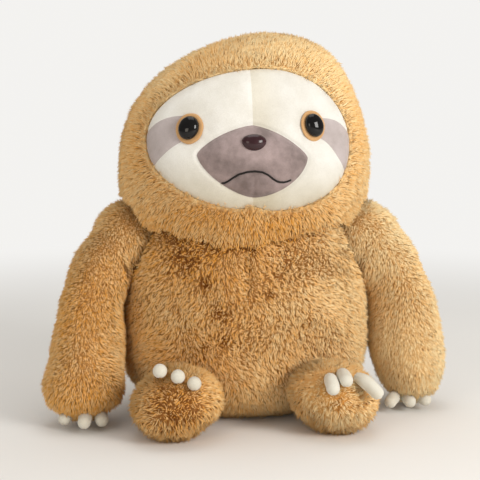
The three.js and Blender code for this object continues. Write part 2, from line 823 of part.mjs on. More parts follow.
toySides.forEach((side) => {
  const { name, sign, footFrontY } = side;
  const skin = legSolid(side, 0, limbSides, limbRings)
    .subtract(legSolid(side, skinWall, limbCoreSides, limbCoreRings));
  const core = legSolid(side, skinWall + sewnGap, limbCoreSides, limbCoreRings);
  addPiece(`leg_skin_${name}`, sewnOn(skin), fur);
  addPiece(`leg_filling_${name}`, sewnOn(core), stuffing);

  const legGrown = legSolid(side, -sewnGap, limbSides, limbRings);
  ['inner', 'middle', 'outer'].forEach((toe, index) => {
    const [x, behindFront, z] = footClawRoots[name][index];
    const claw = clawForm({
      root: [sign * footX + x, footFrontY + behindFront, z],
      way: footClawWays[name][index],
      curl: footClawCurls[name][index],
      length: footClawLength,
    });
    addPiece(`foot_claw_${name}_${toe}`, claw.subtract(legGrown).subtract(bodyGrown), clawCloth);
  });
});

export default toy;
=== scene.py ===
"""The plush sloth's looks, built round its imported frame: a shaggy coat of strands on each stuffed
form, the pieced velour face, glossy eyes and nose, the stitched mouth and the stuffed claws."""

import math
from contextlib import contextmanager

import bmesh
import bpy
import numpy as np
from bpy.props import FloatProperty, FloatVectorProperty, IntProperty, PointerProperty
from mathutils import Matrix, Vector, bvhtree
from mathutils.geometry import delaunay_2d_cdt


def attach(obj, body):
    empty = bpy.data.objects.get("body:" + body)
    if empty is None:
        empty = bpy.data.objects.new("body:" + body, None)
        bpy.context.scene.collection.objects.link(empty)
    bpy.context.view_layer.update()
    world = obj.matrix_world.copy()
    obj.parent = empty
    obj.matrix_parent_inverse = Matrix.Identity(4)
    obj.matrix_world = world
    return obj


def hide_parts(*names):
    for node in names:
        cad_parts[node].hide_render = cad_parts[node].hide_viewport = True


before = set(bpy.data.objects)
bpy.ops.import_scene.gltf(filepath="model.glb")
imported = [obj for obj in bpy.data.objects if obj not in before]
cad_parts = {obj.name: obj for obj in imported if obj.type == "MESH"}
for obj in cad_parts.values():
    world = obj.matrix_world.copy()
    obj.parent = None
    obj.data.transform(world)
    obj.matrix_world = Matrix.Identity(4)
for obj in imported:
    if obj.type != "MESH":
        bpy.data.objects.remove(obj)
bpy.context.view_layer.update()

bl_info = {
    "name": "Plush sloth",
    "version": (1, 0, 0),
    "blender": (4, 5, 0),
    "location": "View3D > Sidebar > Sloth",
    "description": "Dresses the frame of a large plush sloth in coat, velour, eyes, nose and claws",
    "category": "Object",
}

MM = 0.001
SIDES = (("left", -1), ("right", 1))
BACKGROUND = (0.90, 0.89, 0.87)
PILE_MAP = "OFBake"  # the coat's own map: across it the tone of a strand, up it root to tip
TONE_SPAN = 0.94  # how much of the map's width the tones take
FAR_OFF = 9.0  # metres: beyond everything here
TIP_FLOOR = 0.0004  # no strand comes nearer to the floor than this, and
CLOTH_FLOOR = 0.0018  # its backing cloth no nearer than this


# ---------------------------------------------------------------- settings


def length(name, description, default, **limits):
    return FloatProperty(name=name, description=description, default=default, unit="LENGTH",
                         subtype="DISTANCE", precision=4, **limits)


def colour(name, description, default):
    return FloatVectorProperty(name=name, description=description, default=default, size=3,
                               subtype="COLOR", min=0, max=1)


class SLOTH_PG_coat(bpy.types.PropertyGroup):
    spacing: length("Strand spacing", "Least distance between the roots of two strands", 0.00141)
    radius: length("Strand radius", "Radius of a strand at its widest", 0.00064)
    pile: length("Pile", "Height of the pile over the backing cloth", 0.0105)
    backing: length("Backing depth", "How deep the backing lies under the tips", 0.0085)
    clump_spacing: length("Clump spacing", "Least distance between two clumps of strands", 0.0032)
    lump: length("Lumps", "How far the stuffing swells and sinks the form", 0.0022)
    voxel: length("Cloth voxel", "Size of the faces of the backing cloth", 0.005)
    seed: IntProperty(name="Seed", description="Seed of everything random in the coat", default=7)
    deep_root: colour("Deep root colour", "Root of the darkest strands", (0.17, 0.040, 0.008))
    deep_tip: colour("Deep tip colour", "Tip of the darkest strands", (0.90, 0.40, 0.055))
    pale_root: colour("Pale root colour", "Root of the palest strands", (0.80, 0.44, 0.14))
    pale_tip: colour("Pale tip colour", "Tip of the palest strands", (1.0, 0.80, 0.46))


class SLOTH_PG_face(bpy.types.PropertyGroup):
    recess: length("Recess", "How deep the velour lies under the tips of the fur", 0.006)
    cloth: length("Cloth", "Thickness of the padded velour", 0.0035)
    grid: length("Grid", "Spacing of the points over the velour", 0.0022)
    cream: colour("Cream", "Colour of the cream velour", (0.775, 0.76, 0.715))
    grey: colour("Grey", "Colour of the muzzle's grey velour", (0.325, 0.255, 0.25))
    band: colour("Band", "Colour of the bands' paler velour", (0.47, 0.41, 0.405))


class SLOTH_PG_eyes(bpy.types.PropertyGroup):
    width: length("Eye width", "Width of the eye's dome", 0.0327)
    height: length("Eye height", "Height of the eye's dome", 0.0359)
    rise: length("Eye rise", "How far the dome stands out", 0.013)
    ring: length("Ring radius", "Outer radius of the felt ring", 0.0236)
    tilt: FloatProperty(name="Tilt", description="How far the top leans to the nose", default=14.0)
    felt: colour("Felt", "Colour of the felt ring", (0.62, 0.36, 0.16))


class SLOTH_PG_claws(bpy.types.PropertyGroup):
    radius: length("Claw radius", "Radius of a claw", 0.011)
    tip: length("Claw tip radius", "Radius of a claw's round tip", 0.0095)
    ivory: colour("Ivory", "Colour of the claws' cloth", (0.68, 0.65, 0.56))


class SLOTH_PG_stage(bpy.types.PropertyGroup):
    lens: FloatProperty(name="Lens", description="Focal length in millimetres", default=75.0)
    distance: length("Distance", "Level distance of the camera from the toy", 1.64)
    height: length("Height", "Height of the camera", 0.457)
    azimuth: FloatProperty(name="Azimuth", description="Degrees round the toy", default=-6.0)
    pitch: FloatProperty(name="Pitch", description="Degrees down", default=6.28)
    pan: FloatProperty(name="Pan", description="Degrees to the left of the toy's middle", default=0.229)


# ---------------------------------------------------------------- small tools


def new_object(name, mesh):
    obj = bpy.data.objects.new(name, mesh)
    bpy.context.scene.collection.objects.link(obj)
    return obj


def drop(obj):
    mesh = obj.data
    bpy.data.objects.remove(obj)
    if mesh.users == 0:
        bpy.data.meshes.remove(mesh)


def evaluated_mesh(obj):
    """The object's mesh with its modifiers applied."""
    depsgraph = bpy.context.evaluated_depsgraph_get()
    return bpy.data.meshes.new_from_object(
        obj.evaluated_get(depsgraph), preserve_all_data_layers=True, depsgraph=depsgraph)


def read(rows, key, width, kind):
    values = np.empty(len(rows) * width, kind)
    rows.foreach_get(key, values)
    return values.reshape(-1, width)


def points_of(mesh):
    return read(mesh.vertices, "co", 3, float)


def normals_of(mesh):
    return read(mesh.vertices, "normal", 3, np.float32).astype(float)


def edges_of(mesh):
    return read(mesh.edges, "vertices", 2, np.int32)


@contextmanager
def edited(mesh):
    """The mesh as a bmesh, which is written back at the end."""
    built = bmesh.new()
    built.from_mesh(mesh)
    yield built
    built.to_mesh(mesh)
    built.free()


def move_points(mesh, co):
    mesh.vertices.foreach_set("co", np.ascontiguousarray(co, np.float32).ravel())
    mesh.update()


def smooth_step(low, high, value):
    t = np.clip((value - low) / (high - low), 0, 1)
    return t * t * (3 - 2 * t)


def bell(far, width):
    """1 where far is 0, and falling off over the given width."""
    return np.exp(-(far / width) ** 2)


def unit(vectors):
    return vectors / np.maximum(np.linalg.norm(vectors, axis=-1, keepdims=True), 1e-9)


def waves(co, size, seed, count=9):
    """A smooth pattern from -1 to 1 whose features are about the given size."""
    rng = np.random.default_rng(seed)
    way = unit(rng.normal(size=(count, 3))) * (2 * math.pi / size) * rng.uniform(0.6, 1.5, (count, 1))
    phase = rng.uniform(0, 2 * math.pi, count)
    return np.clip(np.sin(co @ way.T + phase).sum(1) / math.sqrt(count) / 1.3, -1, 1)


def neighbour_mean(values, ends, count):
    total = np.stack([
        np.bincount(ends[:, 0], values[ends[:, 1], k], count)
        + np.bincount(ends[:, 1], values[ends[:, 0], k], count) for k in range(values.shape[1])], 1)
    links = np.bincount(ends.ravel(), minlength=count)[:, None]
    return total / np.maximum(links, 1)


def smoothed(co, ends, rounds):
    """Smooths without shrinking, by turns of pulling in and pushing back out."""
    for _ in range(rounds):
        for factor in (0.6, -0.62):
            co = co + factor * (neighbour_mean(co, ends, len(co)) - co)
    return co


def finish_piece(obj, body, slot, material, *nodes, fill=None):
    """Puts a finished piece on its body, in place of its CAD nodes."""
    obj.data.materials.clear()
    obj.data.materials.append(material)
    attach(obj, body)
    if nodes:
        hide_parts(*nodes)
    return obj


def mesh_from(name, points, faces, smooth=True):
    mesh = bpy.data.meshes.new(name)
    mesh.from_pydata([tuple(p) for p in points], [], [tuple(f) for f in faces])
    mesh.polygons.foreach_set("use_smooth", [smooth] * len(mesh.polygons))
    mesh.update()
    return mesh


def tube(rings, start, end):
    """A closed form through rings of points, as points and faces."""
    count = len(rings[0])
    points = [start, *[p for ring in rings for p in ring], end]
    faces = []
    for k in range(count):
        after = (k + 1) % count
        faces.append((0, 1 + after, 1 + k))
        for r in range(len(rings) - 1):
            a, b = 1 + r * count, 1 + (r + 1) * count
            faces.append((a + k, a + after, b + after, b + k))
        last = 1 + (len(rings) - 1) * count
        faces.append((len(points) - 1, last + k, last + after))
    return points, faces


class Tree:
    """A node tree that is built one step at a time."""

    def __init__(self, tree):
        self.tree = tree

    def node(self, kind, inputs=None, **settings):
        made = self.tree.nodes.new(kind)
        for key, value in settings.items():
            setattr(made, key, value)
        for key, value in (inputs or {}).items():
            self.feed(self.find(made.inputs, key), value)
        return made

    @staticmethod
    def find(sockets, key):
        if isinstance(key, int):
            return sockets[key]
        return next(s for s in sockets if s.name == key and s.enabled)

    def feed(self, socket, value):
        if isinstance(value, bpy.types.NodeSocket):
            self.tree.links.new(value, socket)
        else:
            socket.default_value = value

    def out(self, kind, key, inputs=None, **settings):
        return self.find(self.node(kind, inputs, **settings).outputs, key)

    def math(self, operation, *values, clamp=False):
        return self.out("ShaderNodeMath", 0, dict(enumerate(values)), operation=operation,
                        use_clamp=clamp)

    def vector(self, operation, *values):
        key = "Value" if operation in ("DOT_PRODUCT", "LENGTH") else "Vector"
        node = self.node("ShaderNodeVectorMath", operation=operation)
        for index, value in enumerate(values):
            if operation == "SCALE" and index == 1:
                self.feed(node.inputs["Scale"], value)
            else:
                self.feed(node.inputs[index], value)
        return self.find(node.outputs, key)

    def ramp(self, factor, *stops, interpolation="LINEAR"):
        node = self.node("ShaderNodeValToRGB", {"Fac": factor})
        node.color_ramp.interpolation = interpolation
        elements = node.color_ramp.elements
        for index, (place, shade) in enumerate(stops):
            element = elements[index] if index < 2 else elements.new(place)
            element.position = place
            element.color = (*shade, 1) if hasattr(shade, "__len__") else (shade, shade, shade, 1)
        return node.outputs["Color"]

    def mix(self, factor, first, second, blend="MIX"):
        node = self.node("ShaderNodeMix", data_type="RGBA", blend_type=blend)
        for key, value in (("Factor", factor), ("A", first), ("B", second)):
            if not isinstance(value, bpy.types.NodeSocket) and hasattr(value, "__len__"):
                value = (*value, 1)
            self.feed(self.find(node.inputs, key), value)
        return self.find(node.outputs, "Result")

    def noise(self, place, scale, detail=2.0, roughness=0.5):
        return self.out("ShaderNodeTexNoise", "Fac", {
            "Vector": place, "Scale": scale, "Detail": detail, "Roughness": roughness})

    def bump(self, shader, height, strength, distance):
        """Roughens the shader's surface by this height."""
        self.feed(shader.inputs["Normal"], self.out("ShaderNodeBump", "Normal", {
            "Height": height, "Strength": strength, "Distance": distance}))


def new_material(name, roughness, specular, sheen=0.0, sheen_roughness=0.5):
    """A material, a tree to build on, and its shader with these plain numbers."""
    material = bpy.data.materials.new(name)
    material.use_nodes = True
    shader = material.node_tree.nodes["Principled BSDF"]
    for key, value in (("Roughness", roughness), ("Specular IOR Level", specular),
                       ("Sheen Weight", sheen), ("Sheen Roughness", sheen_roughness)):
        shader.inputs[key].default_value = value
    return material, Tree(material.node_tree), shader


# ---------------------------------------------------------------- materials


def coat_material():
    """Pile that is dark at the root and pale at the tip, in the tone of its strand."""
    made = bpy.data.materials.get("shaggy_coat")
    if made:
        return made
    coat = bpy.context.scene.sloth_coat
    made, tree, shader = new_material("shaggy_coat", 0.82, 0.12, sheen=0.06)
    shader.inputs["Sheen Tint"].default_value = (1.0, 0.86, 0.66, 1)
    place = tree.out("ShaderNodeUVMap", "UV", uv_map=PILE_MAP)
    parts = tree.node("ShaderNodeSeparateXYZ", {0: place})
    tone, along = parts.outputs["X"], parts.outputs["Y"]
    deep, pale = (
        tree.ramp(along, (0.0, root * 0.8), (0.25, root * 0.85 + tip * 0.15), (0.5, tip * 0.9), (0.8, tip))
        for root, tip in ((np.array(coat.deep_root), np.array(coat.deep_tip)),
                          (np.array(coat.pale_root), np.array(coat.pale_tip))))
    tree.feed(shader.inputs["Base Color"], tree.mix(tone, deep, pale))
    tree.feed(shader.inputs["Roughness"], tree.ramp(along, (0.0, 0.95), (1.0, 0.72)))
    return made


def velour_material(name, shade, nap, mottle, *pressed):
    """Short brushed pile: fine bump, a soft sheen and patches where the nap lies the other way.

    Each pressed place is painted shade along an axis: where along it the shade is deepest, the share of the
    colour that shows there, and where along it the shade has faded out."""
    made, tree, shader = new_material(name, 0.88, 0.2, sheen=nap, sheen_roughness=0.45)
    place = tree.out("ShaderNodeTexCoord", "Object")
    shade = np.array(shade)
    broad, fine = tree.noise(place, 26.0, 4.0, 0.6), tree.noise(place, 900.0, 3.0, 0.7)
    patches = tree.ramp(broad, (0.32, shade * (1 - mottle) * (1, 0.985, 0.95)),
                        (0.66, np.minimum(shade * (1 + mottle), 1)))
    flecks = tree.ramp(fine, (0.3, 0.84), (0.7, 1.0))
    brushed = tree.mix(1.0, patches, flecks, "MULTIPLY")
    axes = tree.node("ShaderNodeSeparateXYZ", {0: place}).outputs
    # each pressed place multiplies painted shade into the colour
    for axis, flat, share, shade_gone_at in pressed:
        along = tree.out("ShaderNodeMapRange", "Result",
                         {"Value": axes[axis], "From Min": flat, "From Max": shade_gone_at})
        painted_shade = tree.ramp(along, (0.0, share), (1.0, 1.0), interpolation="EASE")
        brushed = tree.mix(1.0, brushed, painted_shade, "MULTIPLY")
    tree.feed(shader.inputs["Base Color"], brushed)
    tree.bump(shader, tree.math("ADD", fine, tree.math("MULTIPLY", broad, 0.6)), 0.35, 0.0006)
    return made


def plastic_material(name, shade, roughness, shine=0.5):
    """Moulded plastic with the faint waviness and dust of a real one."""
    made, tree, shader = new_material(name, roughness, shine)
    cloud = tree.noise(tree.out("ShaderNodeTexCoord", "Object"), 60.0, 3.0)
    shade = np.array(shade)
    tree.feed(shader.inputs["Base Color"], tree.ramp(cloud, (0.3, shade * 0.8), (0.75, shade * 1.2)))
    tree.feed(shader.inputs["Roughness"], tree.ramp(cloud, (0.3, roughness), (0.8, roughness * 1.5)))
    tree.bump(shader, cloud, 0.06, 0.0005)
    return made


def woven_material(name, shade, scale, rough=0.85, contrast=0.18, sheen=0.1):
    """Plain cloth, felt, thread or fibre: a fine crossed grain with a little fuzz."""
    made, tree, shader = new_material(name, rough, 0.25, sheen=sheen)
    place = tree.out("ShaderNodeTexCoord", "Object")
    grain, wear = tree.noise(place, scale, 4.0, 0.65), tree.noise(place, 40.0)
    cells = tree.out("ShaderNodeTexVoronoi", "Distance", {"Vector": place, "Scale": scale * 1.3})
    shade = np.array(shade)
    body = tree.ramp(grain, (0.3, shade * (1 - contrast)),
                     (0.7, np.minimum(shade * (1 + contrast * 0.5), 1)))
    soil = tree.ramp(wear, (0.3, (0.93, 0.90, 0.85)), (0.6, 1.0))
    tree.feed(shader.inputs["Base Color"], tree.mix(1.0, body, soil, "MULTIPLY"))
    tree.bump(shader, tree.math("SUBTRACT", grain, tree.math("MULTIPLY", cells, 0.5)), 0.4, 0.0004)
    return made


# ---------------------------------------------------------------- the coat


def stuffed_form(nodes, voxel):
    """The outside of CAD solids as one smooth closed cloth mesh."""
    built = bmesh.new()
    for node in nodes:
        built.from_mesh(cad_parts[node].data)
    bmesh.ops.remove_doubles(built, verts=built.verts, dist=1e-5)
    rough = bpy.data.meshes.new("rough_form")
    built.to_mesh(rough)
    built.free()
    obj = new_object("rough_form", rough)
    remesh = obj.modifiers.new("Remesh", "REMESH")
    remesh.mode = "VOXEL"
    remesh.voxel_size = voxel
    mesh = evaluated_mesh(obj)
    drop(obj)
    keep_largest_island(mesh)
    return mesh


def keep_largest_island(mesh):
    with edited(mesh) as built:
        seen, islands = set(), []
        for first in built.verts:
            if first.index in seen:
                continue
            island, open_ends = [], [first]
            seen.add(first.index)
            while open_ends:
                vert = open_ends.pop()
                island.append(vert)
                for edge in vert.link_edges:
                    other = edge.other_vert(vert)
                    if other.index not in seen:
                        seen.add(other.index)
                        open_ends.append(other)
            islands.append(island)
        largest = max(islands, key=len)
        spare = [v for island in islands if island is not largest for v in island]
        bmesh.ops.delete(built, geom=spare, context="VERTS")
    mesh.update()


def pressed_in(co, normals, depth):
    """The backing cloth under the pile. Near the floor it keeps only the pile's pressed thickness."""
    inner = co - normals * depth
    flat = 1 - smooth_step(0.0, 0.022, co[:, 2])
    inner[:, 2] = inner[:, 2] * (1 - flat) + (co[:, 2] + 0.002) * flat
    inner[:, 2] = np.maximum(inner[:, 2], CLOTH_FLOOR)
    return inner


def tangent(vectors, normals):
    """The part of each vector along the cloth, as a unit vector that fades out where hardly any is left."""
    along = vectors - normals * (vectors * normals).sum(1, keepdims=True)
    return unit(along) * smooth_step(0.0, 0.35, np.linalg.norm(along, axis=1, keepdims=True))


def hidden_depth(co, normals, ends, others, reach=0.012):
    """How many cloth faces deep a point lies where another form covers the coat."""
    endless = 99
    covered = np.zeros(len(co), bool)
    for index, (p, n) in enumerate(zip(co, normals)):
        start, way = Vector(p + n * 0.001), Vector(n)
        covered[index] = any(tree.ray_cast(start, way, reach)[0] is not None for tree in others)
    depth = np.where(covered, endless, 0)
    for step in range(1, 7):
        near = np.full(len(co), endless)
        np.minimum.at(near, ends[:, 0], depth[ends[:, 1]])
        np.minimum.at(near, ends[:, 1], depth[ends[:, 0]])
        depth = np.where(covered & (near == step - 1), np.minimum(depth, step), depth)
    return depth


def closeness(co, others, reach=0.014):
    """How near each point of a cloth lies to the cloths of the other forms, from 0 to 1."""
    far = np.full(len(co), reach)
    for index, point in enumerate(co):
        for tree in others:
            found = tree.find_nearest(Vector(point), reach)
            if found[0] is not None:
                far[index] = min(far[index], found[3])
    return smooth_step(reach, reach * 0.3, far)


def store(mesh, name, values):
    kind = "FLOAT_VECTOR" if values.ndim == 2 else "FLOAT"
    layer = mesh.attributes.new(name, kind, "POINT")
    layer.data.foreach_set("vector" if values.ndim == 2 else "value",
                           np.ascontiguousarray(values, np.float32).ravel())


def named(tree, name, kind="FLOAT"):
    return tree.out("GeometryNodeInputNamedAttribute", "Attribute", {"Name": name}, data_type=kind)


def keep_named(tree, geometry, name, value, kind="FLOAT", domain="POINT"):
    return tree.out("GeometryNodeStoreNamedAttribute", "Geometry",
                    {"Geometry": geometry, "Name": name, "Value": value}, data_type=kind, domain=domain)


def new_tree(name, result, **sockets):
    """An empty geometry tree with these inputs and one geometry as its result."""
    made = bpy.data.node_groups.new(name, "GeometryNodeTree")
    for key, kind in sockets.items():
        made.interface.new_socket(key, in_out="INPUT", socket_type=f"NodeSocket{kind}")
    made.interface.new_socket(result, in_out="OUTPUT", socket_type="NodeSocketGeometry")
    tree = Tree(made)
    return made, tree, tree.node("NodeGroupInput").outputs


def strand_tree():
    """Geometry nodes that grow the pile: strands that lean with the nap and gather in clumps."""
    made = bpy.data.node_groups.get("Shaggy pile")
    if made:
        return made
    made, t, given = new_tree("Shaggy pile", "Coat", Cloth="Geometry", Spacing="Float", Radius="Float",
                              Pile="Float", Clumps="Float", Seed="Int", Material="Material")
    cloth, seed, pile = given["Cloth"], given["Seed"], given["Pile"]

    def scattered(spacing, offset):
        most = t.math("DIVIDE", 1.5, t.math("MULTIPLY", spacing, spacing))
        return t.out("GeometryNodeDistributePointsOnFaces", "Points", {
            "Mesh": cloth, "Distance Min": spacing, "Density Max": most,
            "Seed": t.math("ADD", seed, offset)}, distribute_method="POISSON")

    def chance(low, high, offset, kind="FLOAT", ident=None):
        inputs = {"Min": low, "Max": high, "Seed": t.math("ADD", seed, offset)}
        if ident is not None:
            inputs["ID"] = ident
        return t.out("FunctionNodeRandomValue", "Value", inputs, data_type=kind)

    roots = scattered(given["Spacing"], 0)
    bald = t.math("LESS_THAN", named(t, "room"), 0.0)
    roots = t.out("GeometryNodeDeleteGeometry", "Geometry", {"Geometry": roots, "Selection": bald},
                  domain="POINT")
    clumps = scattered(given["Clumps"], 1)
    here = t.out("GeometryNodeInputPosition", "Position")
    nearest = t.out("GeometryNodeSampleNearest", "Index",
                    {"Geometry": clumps, "Sample Position": here}, domain="POINT")
    clump = t.out("GeometryNodeSampleIndex", "Value",
                  {"Geometry": clumps, "Value": here, "Index": nearest}, data_type="FLOAT_VECTOR")
    gather = t.vector("SCALE", t.vector("SUBTRACT", clump, here), named(t, "gather"))
    clump_way = chance((-1, -1, -1), (1, 1, 1), 2, "FLOAT_VECTOR", nearest)
    own_way = chance((-1, -1, -1), (1, 1, 1), 3, "FLOAT_VECTOR")
    mess = t.math("MULTIPLY", pile, named(t, "mess"))
    stray = t.vector("ADD", t.vector("SCALE", clump_way, mess),
                     t.vector("SCALE", own_way, t.math("MULTIPLY", mess, 0.6)))
    height = t.math("MULTIPLY", t.math("MULTIPLY", pile, named(t, "height")), chance(0.78, 1.08, 4))
    lean = t.vector("SCALE", named(t, "nap", "FLOAT_VECTOR"), pile)
    lean = t.vector("ADD", t.vector("ADD", lean, gather), stray)
    tone = t.math("ADD", named(t, "tone"), t.math("ADD", chance(-0.28, 0.28, 5),
                                                  chance(-0.12, 0.12, 6, "FLOAT", nearest)))
    fleck = t.math("LESS_THAN", chance(0.0, 1.0, 8), named(t, "fleck"))
    tone = t.math("SUBTRACT", tone, t.math("MULTIPLY", fleck, 0.58))
    height = t.math("MULTIPLY", height, t.math("SUBTRACT", 1.0, t.math("MULTIPLY", fleck, 0.18)))
    rise = t.vector("SCALE", named(t, "out", "FLOAT_VECTOR"), height)
    fat = t.math("MULTIPLY", given["Radius"], chance(0.75, 1.2, 7))
    for name, value in (("root", here), ("rise", rise), ("lean", lean)):
        roots = keep_named(t, roots, name, value, "FLOAT_VECTOR")
    for name, value in (("tone", tone), ("fleck", fleck), ("fat", fat)):
        roots = keep_named(t, roots, name, value)

    strand = t.out("GeometryNodeMeshUVSphere", "Mesh", {"Segments": 3, "Rings": 2, "Radius": 1.0})
    strand = keep_named(t, strand, "spot", here, "FLOAT_VECTOR")
    coat = t.out("GeometryNodeInstanceOnPoints", "Instances", {"Points": roots, "Instance": strand})
    coat = t.out("GeometryNodeRealizeInstances", "Geometry", {"Geometry": coat})

    spot = t.node("ShaderNodeSeparateXYZ", {0: named(t, "spot", "FLOAT_VECTOR")}).outputs
    along = t.math("ADD", t.math("MULTIPLY", spot["Z"], 0.5), 0.5)
    rise, lean = named(t, "rise", "FLOAT_VECTOR"), named(t, "lean", "FLOAT_VECTOR")
    lift = t.math("SUBTRACT", t.math("MULTIPLY", along, 1.3),
                  t.math("ADD", t.math("MULTIPLY", t.math("MULTIPLY", along, along), 0.3), 0.1))
    bend = t.math("POWER", along, 1.35)
    middle = t.vector("ADD", named(t, "root", "FLOAT_VECTOR"),
                      t.vector("ADD", t.vector("SCALE", rise, lift), t.vector("SCALE", lean, bend)))
    way = t.vector("NORMALIZE", t.vector("ADD", rise, lean))
    side = t.vector("NORMALIZE", t.vector("CROSS_PRODUCT", way, named(t, "nap", "FLOAT_VECTOR")))
    over = t.vector("CROSS_PRODUCT", way, side)
    round_ = t.vector("ADD", t.vector("SCALE", side, spot["X"]), t.vector("SCALE", over, spot["Y"]))
    place = t.vector("ADD", middle, t.vector("SCALE", round_, named(t, "fat")))
    floor = t.vector("MAXIMUM", place, (-FAR_OFF, -FAR_OFF, TIP_FLOOR))
    coat = t.out("GeometryNodeSetPosition", "Geometry", {"Geometry": coat, "Position": floor})
    # a strand is shaded mostly as the cloth under it, so that the coat looks soft
    soft = t.vector("ADD", t.vector("SCALE", rise, 160.0), t.vector("SCALE", round_, 0.45))
    soft = t.vector("NORMALIZE", soft)
    coat = t.out("GeometryNodeSetMeshNormal", "Mesh", {"Mesh": coat, "Custom Normal": soft},
                 mode="FREE", domain="POINT")

    shade = t.math("ADD", t.math("MULTIPLY", named(t, "tone"), TONE_SPAN),
                   t.math("MULTIPLY", spot["X"], 0.006))
    shade = t.math("MINIMUM", t.math("MAXIMUM", shade, 0.02), 0.98)
    fleck = named(t, "fleck")
    low = t.math("MULTIPLY", named(t, "low"), t.math("SUBTRACT", 1.0, fleck))
    high = t.math("SUBTRACT", 0.98, t.math("MULTIPLY", fleck, 0.58))
    up = t.math("ADD", low, t.math("MULTIPLY", along, t.math("SUBTRACT", high, low)))
    spread = t.out("ShaderNodeCombineXYZ", "Vector", {"X": shade, "Y": up})
    coat = keep_named(t, coat, PILE_MAP, spread, "FLOAT2", "CORNER")
    join = t.node("GeometryNodeJoinGeometry")
    t.feed(join.inputs[0], coat)
    t.feed(join.inputs[0], cloth)
    coat = join.outputs[0]
    for name in ("root", "rise", "lean", "tone", "fat", "spot", "nap", "out", "room", "gather",
                 "mess", "height", "low", "fleck"):
        coat = t.out("GeometryNodeRemoveAttribute", "Geometry", {"Geometry": coat, "Name": name})
    coat = t.out("GeometryNodeSetShadeSmooth", "Geometry", {"Geometry": coat})
    coat = t.out("GeometryNodeSetMaterial", "Geometry", {"Geometry": coat, "Material": given["Material"]})
    t.feed(t.node("NodeGroupOutput").inputs["Coat"], coat)
    return made


def grown(obj, tree, values):
    """Runs a geometry tree on an object with these inputs, and keeps only the plain result."""
    modifier = obj.modifiers.new(tree.name, "NODES")
    modifier.node_group = tree
    sockets = {s.name: s.identifier for s in tree.interface.items_tree if s.in_out == "INPUT"}
    for name, value in values.items():
        modifier[sockets[name]] = value
    mesh = evaluated_mesh(obj)
    obj.modifiers.clear()
    old = obj.data
    obj.data = mesh
    bpy.data.meshes.remove(old)
    return obj


# A field gives, for every point of a cloth: the nap, the way its strands lean; their height; how far
# they go astray (mess) and gather in clumps; their tone; the tone of the cloth under them (ground); how
# far up the map their roots start (low); and the share of strands that stay dark from end to end (fleck).
# outer is the distance outside the face.

# Places over the front of the body, each with its size, in millimetres: where the nap mats and shows
# its roots, where it stands up in tufts, and where it lies smooth and pale
MATTED = ((-102, 264, 27), (-112, 290, 15), (-66, 278, 14), (-48, 180, 17), (-47, 138, 12), (-76, 126, 9),
          (-72, 225, 14), (24, 209, 8), (55, 262, 10), (-141, 303, 13), (-120, 299, 12), (-96, 295, 12),
          (-74, 291, 9), (-14, 284, 9), (-4, 284, 9), (30, 296, 7), (52, 298, 7), (36, 240, 6))
TUFTED = ((30, 225, 55), (-10, 140, 30), (95, 240, 26))
PALE = ((-2, 104, 36), (30, 196, 30), (-150, 180, 40))
# Short darts and dents in the cloth: from, to, depth and width, in millimetres
BODY_DARTS = (((-9, -145, 264), (-12, -152, 216), 7.0, 6.5),)


def near_line(co, start, end):
    a, b = np.array(start) * MM, np.array(end) * MM
    along = np.clip(((co - a) @ (b - a)) / ((b - a) @ (b - a)), 0, 1)
    return np.linalg.norm(co - (a + along[:, None] * (b - a)), axis=1)


def near_spots(co, places):
    """How near each point lies to one of the places, from 0 to 1."""
    share = np.zeros(len(co))
    for x, z, size in places:
        far = np.hypot(co[:, 0] - x * MM, co[:, 2] - z * MM) / (size * MM)
        share = np.maximum(share, np.exp(-far ** 2 * 1.2))
    return share


def body_field(co, out, _outer):
    """Nap, height and tone of the body's coat: combed down, ruffled in front, matted in places, with
    painted light on the right and painted shade on the chest under the hood.
    """
    front = smooth_step(0.2, 0.8, -out[:, 1])
    matted = near_spots(co, MATTED) * front * (0.75 + 0.25 * waves(co, 0.02, 15))
    tufted, pale = near_spots(co, TUFTED) * front, near_spots(co, PALE) * front
    swirl = np.stack([waves(co, 0.11, 11), waves(co, 0.2, 12) * 0.3, waves(co, 0.12, 13) * 0.6], 1)
    nap = tangent(np.array([0, 0, -1.0]) + swirl * 1.1, out)
    parted = np.zeros(len(co))
    for start, end, *_ in BODY_DARTS:
        share = bell(near_line(co, start, end), 0.0065) * front
        aside = np.sign(co[:, 0] - (start[0] + end[0]) / 2 * MM)
        nap += tangent(np.array([1.0, 0, 0]) * aside[:, None], out) * share[:, None] * 1.5
        parted = np.maximum(parted, share)
    bare = np.maximum(matted, parted)
    right = smooth_step(-0.06, 0.15, co[:, 0])
    chest, foot = smooth_step(0.20, 0.27, co[:, 2]), smooth_step(0.12, 0.06, co[:, 2])
    return {
        "nap": nap * (0.52 - 0.34 * matted - 0.12 * tufted)[:, None],
        "height": 0.98 - 0.25 * matted - 0.38 * parted,
        "mess": 0.30 + 0.14 * matted + 0.14 * tufted,
        "gather": 0.28 + 0.45 * matted + 0.30 * tufted - 0.2 * parted,
        # painted light and shade in the tone: paler towards the right, on the key lamp's side, and darker
        # on the chest, in the shade under the hood
        "tone": 0.42 + 0.08 * waves(co, 0.12, 14) + 0.26 * right - 0.08 * matted + 0.10 * pale
        - 0.08 * chest + 0.12 * foot,
        "ground": 0.45 - 0.45 * bare,
        "low": 0.21 - 0.20 * bare - 0.04 * tufted + 0.08 * foot,
        "fleck": 0.03 + 0.55 * matted + 0.8 * parted + 0.04 * tufted,
    }


